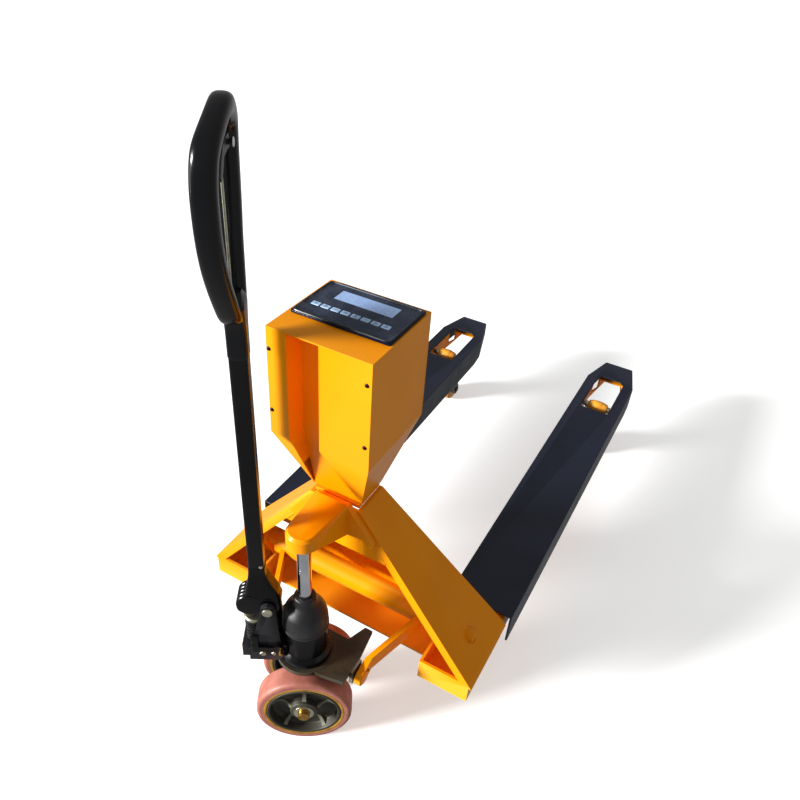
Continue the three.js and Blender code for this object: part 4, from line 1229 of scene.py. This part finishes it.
@dataclass
class Indicator:
    """The weight indicator: housing, cover, panel, display and keys.

    Attributes:
        screw_inset: how far the screws lie in from the left and right edges, in metres.
        screw_drop: how far they lie below the top, in metres.
        rim_points: points along the gasket.
        rim_radius: the gasket's radius in metres.
        rim_inset: how far its middle lies inside the panel's edge, in metres.
        figures: unlit figures on the display.
        figure_size: the size that a figure's bars are scaled from, in metres.
    """

    screw_inset: tuple[float, float] = (0.005, 0.009)
    screw_drop: tuple[float, float] = (0.040, 0.160)
    rim_points: int = 160
    rim_radius: float = 0.0021
    rim_inset: float = 0.0035
    figures: int = 6
    figure_size: float = 0.0115

    def build(self) -> None:
        """Makes the box and everything on it."""
        softened("indicator_housing", 1.8, YELLOW)
        softened("housing_rear_cover", 0.8, YELLOW)
        softened("indicator_bezel", 0.8, FILM)
        softened("display_window", 0.4, CRYSTAL)
        softened("indicator_board", 0.3, CIRCUIT)
        softened("battery", 2.0, PLASTIC)
        self._screws()
        self._gasket()
        self._segments()
        self._film()
        for number in range(1, 9):
            self._key(number)

    def _screws(self) -> None:
        """Four button-head screws on the front, each with a recessed socket."""
        low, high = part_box("indicator_housing")
        dome = [(0, -0.5), (3.9, -0.5), (3.9, 0.6), (3.2, 1.6), (1.9, 2.1), (1.9, 1.0), (0, 1.0)]
        heads = []
        for x in (low.x + self.screw_inset[0], high.x - self.screw_inset[1]):
            for drop in self.screw_drop:
                spot = Vector((x, low.y, high.z - drop))
                heads.append(turned("head", dome, spot, Vector((0, -1, 0)), 24))
        dressed(merged("housing_screws", heads), SCREW, "frame")

    def _gasket(self) -> None:
        """The panel's raised black rim: a rounded bar round its edge."""
        low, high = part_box("indicator_bezel")
        half_x = np.array([(high.x - low.x) / 2 - self.rim_inset])
        half_y = np.array([(high.y - low.y) / 2 - self.rim_inset])
        centre = (low + high) / 2
        outline = superellipse(half_x, half_y, 26.0, self.rim_points)[0]
        path = np.stack([outline[:, 0] + centre.x, outline[:, 1] + centre.y,
                         np.full(self.rim_points, high.z + 0.0004)], axis=-1)
        rim = swept("panel_rim", path, self.rim_radius, closed=True, sides=10)
        dressed(rim, RIM, "frame")

    def _film(self) -> None:
        """The clear film still on the panel: a sheet that lifts in soft waves at its edges.

        With u and v from -1 to 1 across the sheet and e the larger of |u| and |v|, its height over
        the panel is 1.3 + e^6 (1 + 0.7 sin(9 u + 2 v) + 0.5 sin(14 v - 3 u)) mm. The sheet is
        0.12 mm thick.
        """
        low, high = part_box("indicator_bezel")
        u, v = np.meshgrid(np.linspace(-1, 1, 70), np.linspace(-1, 1, 46))
        edge = np.maximum(np.abs(u), np.abs(v))
        lift = 1.3 + edge**6 * (1.0 + 0.7 * np.sin(9 * u + 2 * v) + 0.5 * np.sin(14 * v - 3 * u))
        x = (low.x + high.x) / 2 + u * (high.x - low.x) * 0.485
        y = (low.y + high.y) / 2 + v * (high.y - low.y) * 0.475
        top = np.stack([x, y, high.z + lift * MM], axis=-1)
        under = top[::-1].copy()
        under[..., 2] -= 0.12 * MM
        rows = np.concatenate([top, under], axis=0)
        film = surface("panel_film_sheet", rows, around=False, along=True)
        film.data.materials.append(clear_film())
        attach(film, "frame")

    def _segments(self) -> None:
        """Unlit seven-segment figures, just proud of the display glass."""
        low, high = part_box("display_window")
        margin = 0.006
        size = self.figure_size
        pitch = (high.x - low.x - 2 * margin) / self.figures
        y = (low.y + high.y) / 2
        bars = []
        for i in range(self.figures):
            x = low.x + margin + pitch * (i + 0.5)
            for dx, dy, tall in self._figure(size):
                bars.append(self._bar(x + dx, y + dy, high.z, size, tall))
        dressed(merged("display_segments", bars), GHOST, "frame")

    @staticmethod
    def _figure(size: float) -> list[tuple[float, float, bool]]:
        """Where the seven bars of a figure lie.

        Args:
            size: the size that they are scaled from, in metres.

        Returns:
            Offsets in x and y, and whether the bar stands upright.
        """
        side, rise = size * 0.5, size * 0.9
        flat = [(0.0, k * rise, False) for k in (-1, 0, 1)]
        return flat + [(sx * side, sy * rise / 2, True) for sx in (-1, 1) for sy in (-1, 1)]

    @staticmethod
    def _bar(x: float, y: float, z: float, size: float, tall: bool) -> bpy.types.Object:
        """One six-sided bar of a figure, 0.12 mm proud.

        Args:
            x: its middle in x, in metres.
            y: its middle in y, in metres.
            z: the height of the glass, in metres.
            size: the size that it is scaled from, in metres.
            tall: whether it stands upright.

        Returns:
            The bar.
        """
        long, wide = size * 0.36, size * 0.075
        outline = np.array([(-long, 0), (-long + wide, -wide), (long - wide, -wide), (long, 0),
                            (long - wide, wide), (-long + wide, wide)])
        if tall:
            outline = outline[:, ::-1] * np.array([1, -1])
        return raised("bar", outline + (x, y), z, 0.12 * MM)

    def _key(self, number: int) -> None:
        """A key with rounded edges and a small generic mark of one to three bars.

        Args:
            number: the key's number, from 1.
        """
        node = f"key_{number}"
        softened(node, 0.7, KEYCAP)
        low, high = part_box(node)
        centre = (low + high) / 2
        thick = 0.0005
        marks = []
        for k in range(1 + number % 3):
            y = centre.y + (k - (number % 3) / 2) * 0.0024
            width = 0.0036 - 0.0007 * k
            outline = np.array([(-width, -thick), (width, -thick), (width, thick), (-width, thick)])
            marks.append(raised("mark", outline + (centre.x, y), high.z, 0.1 * MM))
        dressed(merged(f"key_mark_{number}", marks), INK, node)


# ---- Studio ---------------------------------------------------------------------------------------
@dataclass
class Studio:
    """Floor, lights and camera.

    Attributes:
        stand_off: the camera's place in metres: right of centre, back from the forks' heels, up.
        yaw: how far the camera looks to the left of straight along the forks, in degrees.
        pitch: how far it looks down, in degrees.
        roll: how far it is tipped clockwise, in degrees.
        lens: focal length for a 36 mm sensor.
        sun_from: the direction that the sun shines from.
        sun: its strength.
        sky: the strength of the even light all round.
        floor_glow: the floor's own light.
        strip_power: the strip light's power in watts.
        shift: the lens shift across and up, as a share of the frame's width.
    """

    stand_off: tuple[float, float, float] = (0.5525, 1.0552, 1.5629)
    yaw: float = 27.213
    pitch: float = 36.576
    roll: float = 3.841
    lens: float = 33.125
    sun_from: tuple[float, float, float] = (-0.67, -0.70, 0.26)
    sun: float = 7.6
    sky: float = 0.36
    floor_glow: float = 0.42
    strip_power: float = 14.0
    shift: tuple[float, float] = (0.0081, -0.0035)

    def build(self) -> None:
        """Sets up the floor, the lights and the camera."""
        self._floor()
        self._lights()
        self._camera()
        bpy.context.scene.view_settings.view_transform = "Standard"

    def _camera(self) -> None:
        """Points the camera by its yaw, pitch and roll."""
        yaw, pitch, roll = (math.radians(v) for v in (self.yaw, self.pitch, self.roll))
        level = math.cos(pitch)
        back = Vector((math.sin(yaw) * level, -math.cos(yaw) * level, math.sin(pitch)))
        right = Vector((math.cos(yaw), math.sin(yaw), 0))
        up = back.cross(right)
        side = math.cos(roll) * right + math.sin(roll) * up
        top = -math.sin(roll) * right + math.cos(roll) * up
        data = bpy.data.cameras.new("camera")
        data.lens = self.lens
        data.sensor_width = 36.0
        data.clip_start, data.clip_end = 0.05, 100.0
        data.shift_x, data.shift_y = self.shift
        camera = bpy.data.objects.new("camera", data)
        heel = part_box("load_shell_left")[0].y
        x, back_off, z = self.stand_off
        turn = Matrix((side, top, back)).transposed().to_4x4()
        camera.matrix_world = Matrix.Translation((x, heel - back_off, z)) @ turn
        bpy.context.scene.collection.objects.link(camera)
        bpy.context.scene.camera = camera

    def _floor(self) -> None:
        """A wide pale floor, lit a little from within so that it stays white under a low light."""
        half = 30.0
        span = np.linspace(-half, half, 3)
        x, y = np.meshgrid(span, span)
        grid = np.stack([x, y, np.full_like(x, -0.0006)], axis=-1)
        floor = surface("floor", grid, around=False)
        if floor.data.polygons[0].normal.z < 0:
            floor.data.flip_normals()
        plain = Finish("pale_studio_floor", "", "FBFBFA", "F8F8F7", 900, roughness=(0.75, 0.85),
                       relief_mm=0.0)
        material = plain.material()
        nodes = material.node_tree.nodes
        shader = next(node for node in nodes if node.type == "BSDF_PRINCIPLED")
        shader.inputs["Emission Color"].default_value = linear("FFFFFF")
        shader.inputs["Emission Strength"].default_value = self.floor_glow
        floor.data.materials.append(material)
        floor.visible_diffuse = False
        floor.visible_glossy = False

    def _lights(self) -> None:
        """A low soft sun from behind the operator's left, a strip for the highlights, and a sky."""
        world = bpy.data.worlds.new("studio")
        world.use_nodes = True
        sky = world.node_tree.nodes["Background"]
        sky.inputs["Color"].default_value = linear("FFFFFF")
        sky.inputs["Strength"].default_value = self.sky
        bpy.context.scene.world = world
        sun = bpy.data.lights.new("low_sun", "SUN")
        sun.energy = self.sun
        sun.angle = math.radians(12)
        strip = bpy.data.lights.new("strip", "AREA")
        strip.shape = "RECTANGLE"
        strip.size, strip.size_y = 0.5, 1.8
        strip.energy = self.strip_power
        for data, spot, target in (
            (sun, Vector(self.sun_from) * 3, Vector((0, 0, 0))),
            (strip, Vector((-2.4, -2.2, 1.3)), Vector((0, -0.6, 0.9))),
        ):
            light = bpy.data.objects.new(data.name, data)
            light.location = spot
            light.rotation_euler = (target - spot).to_track_quat("-Z", "Y").to_euler()
            bpy.context.scene.collection.objects.link(light)


def main() -> None:
    """Builds the sub-assemblies in order, then the studio."""
    logging.basicConfig(level=logging.INFO, format="%(message)s")
    steered = SteeredFrame()
    for part in (Forks(), Frame(), Pump(steered), Tiller(steered), Indicator(), Studio()):
        LOG.info("building %s", type(part).__name__)
        part.build()


if __name__ == "__main__":
    main()
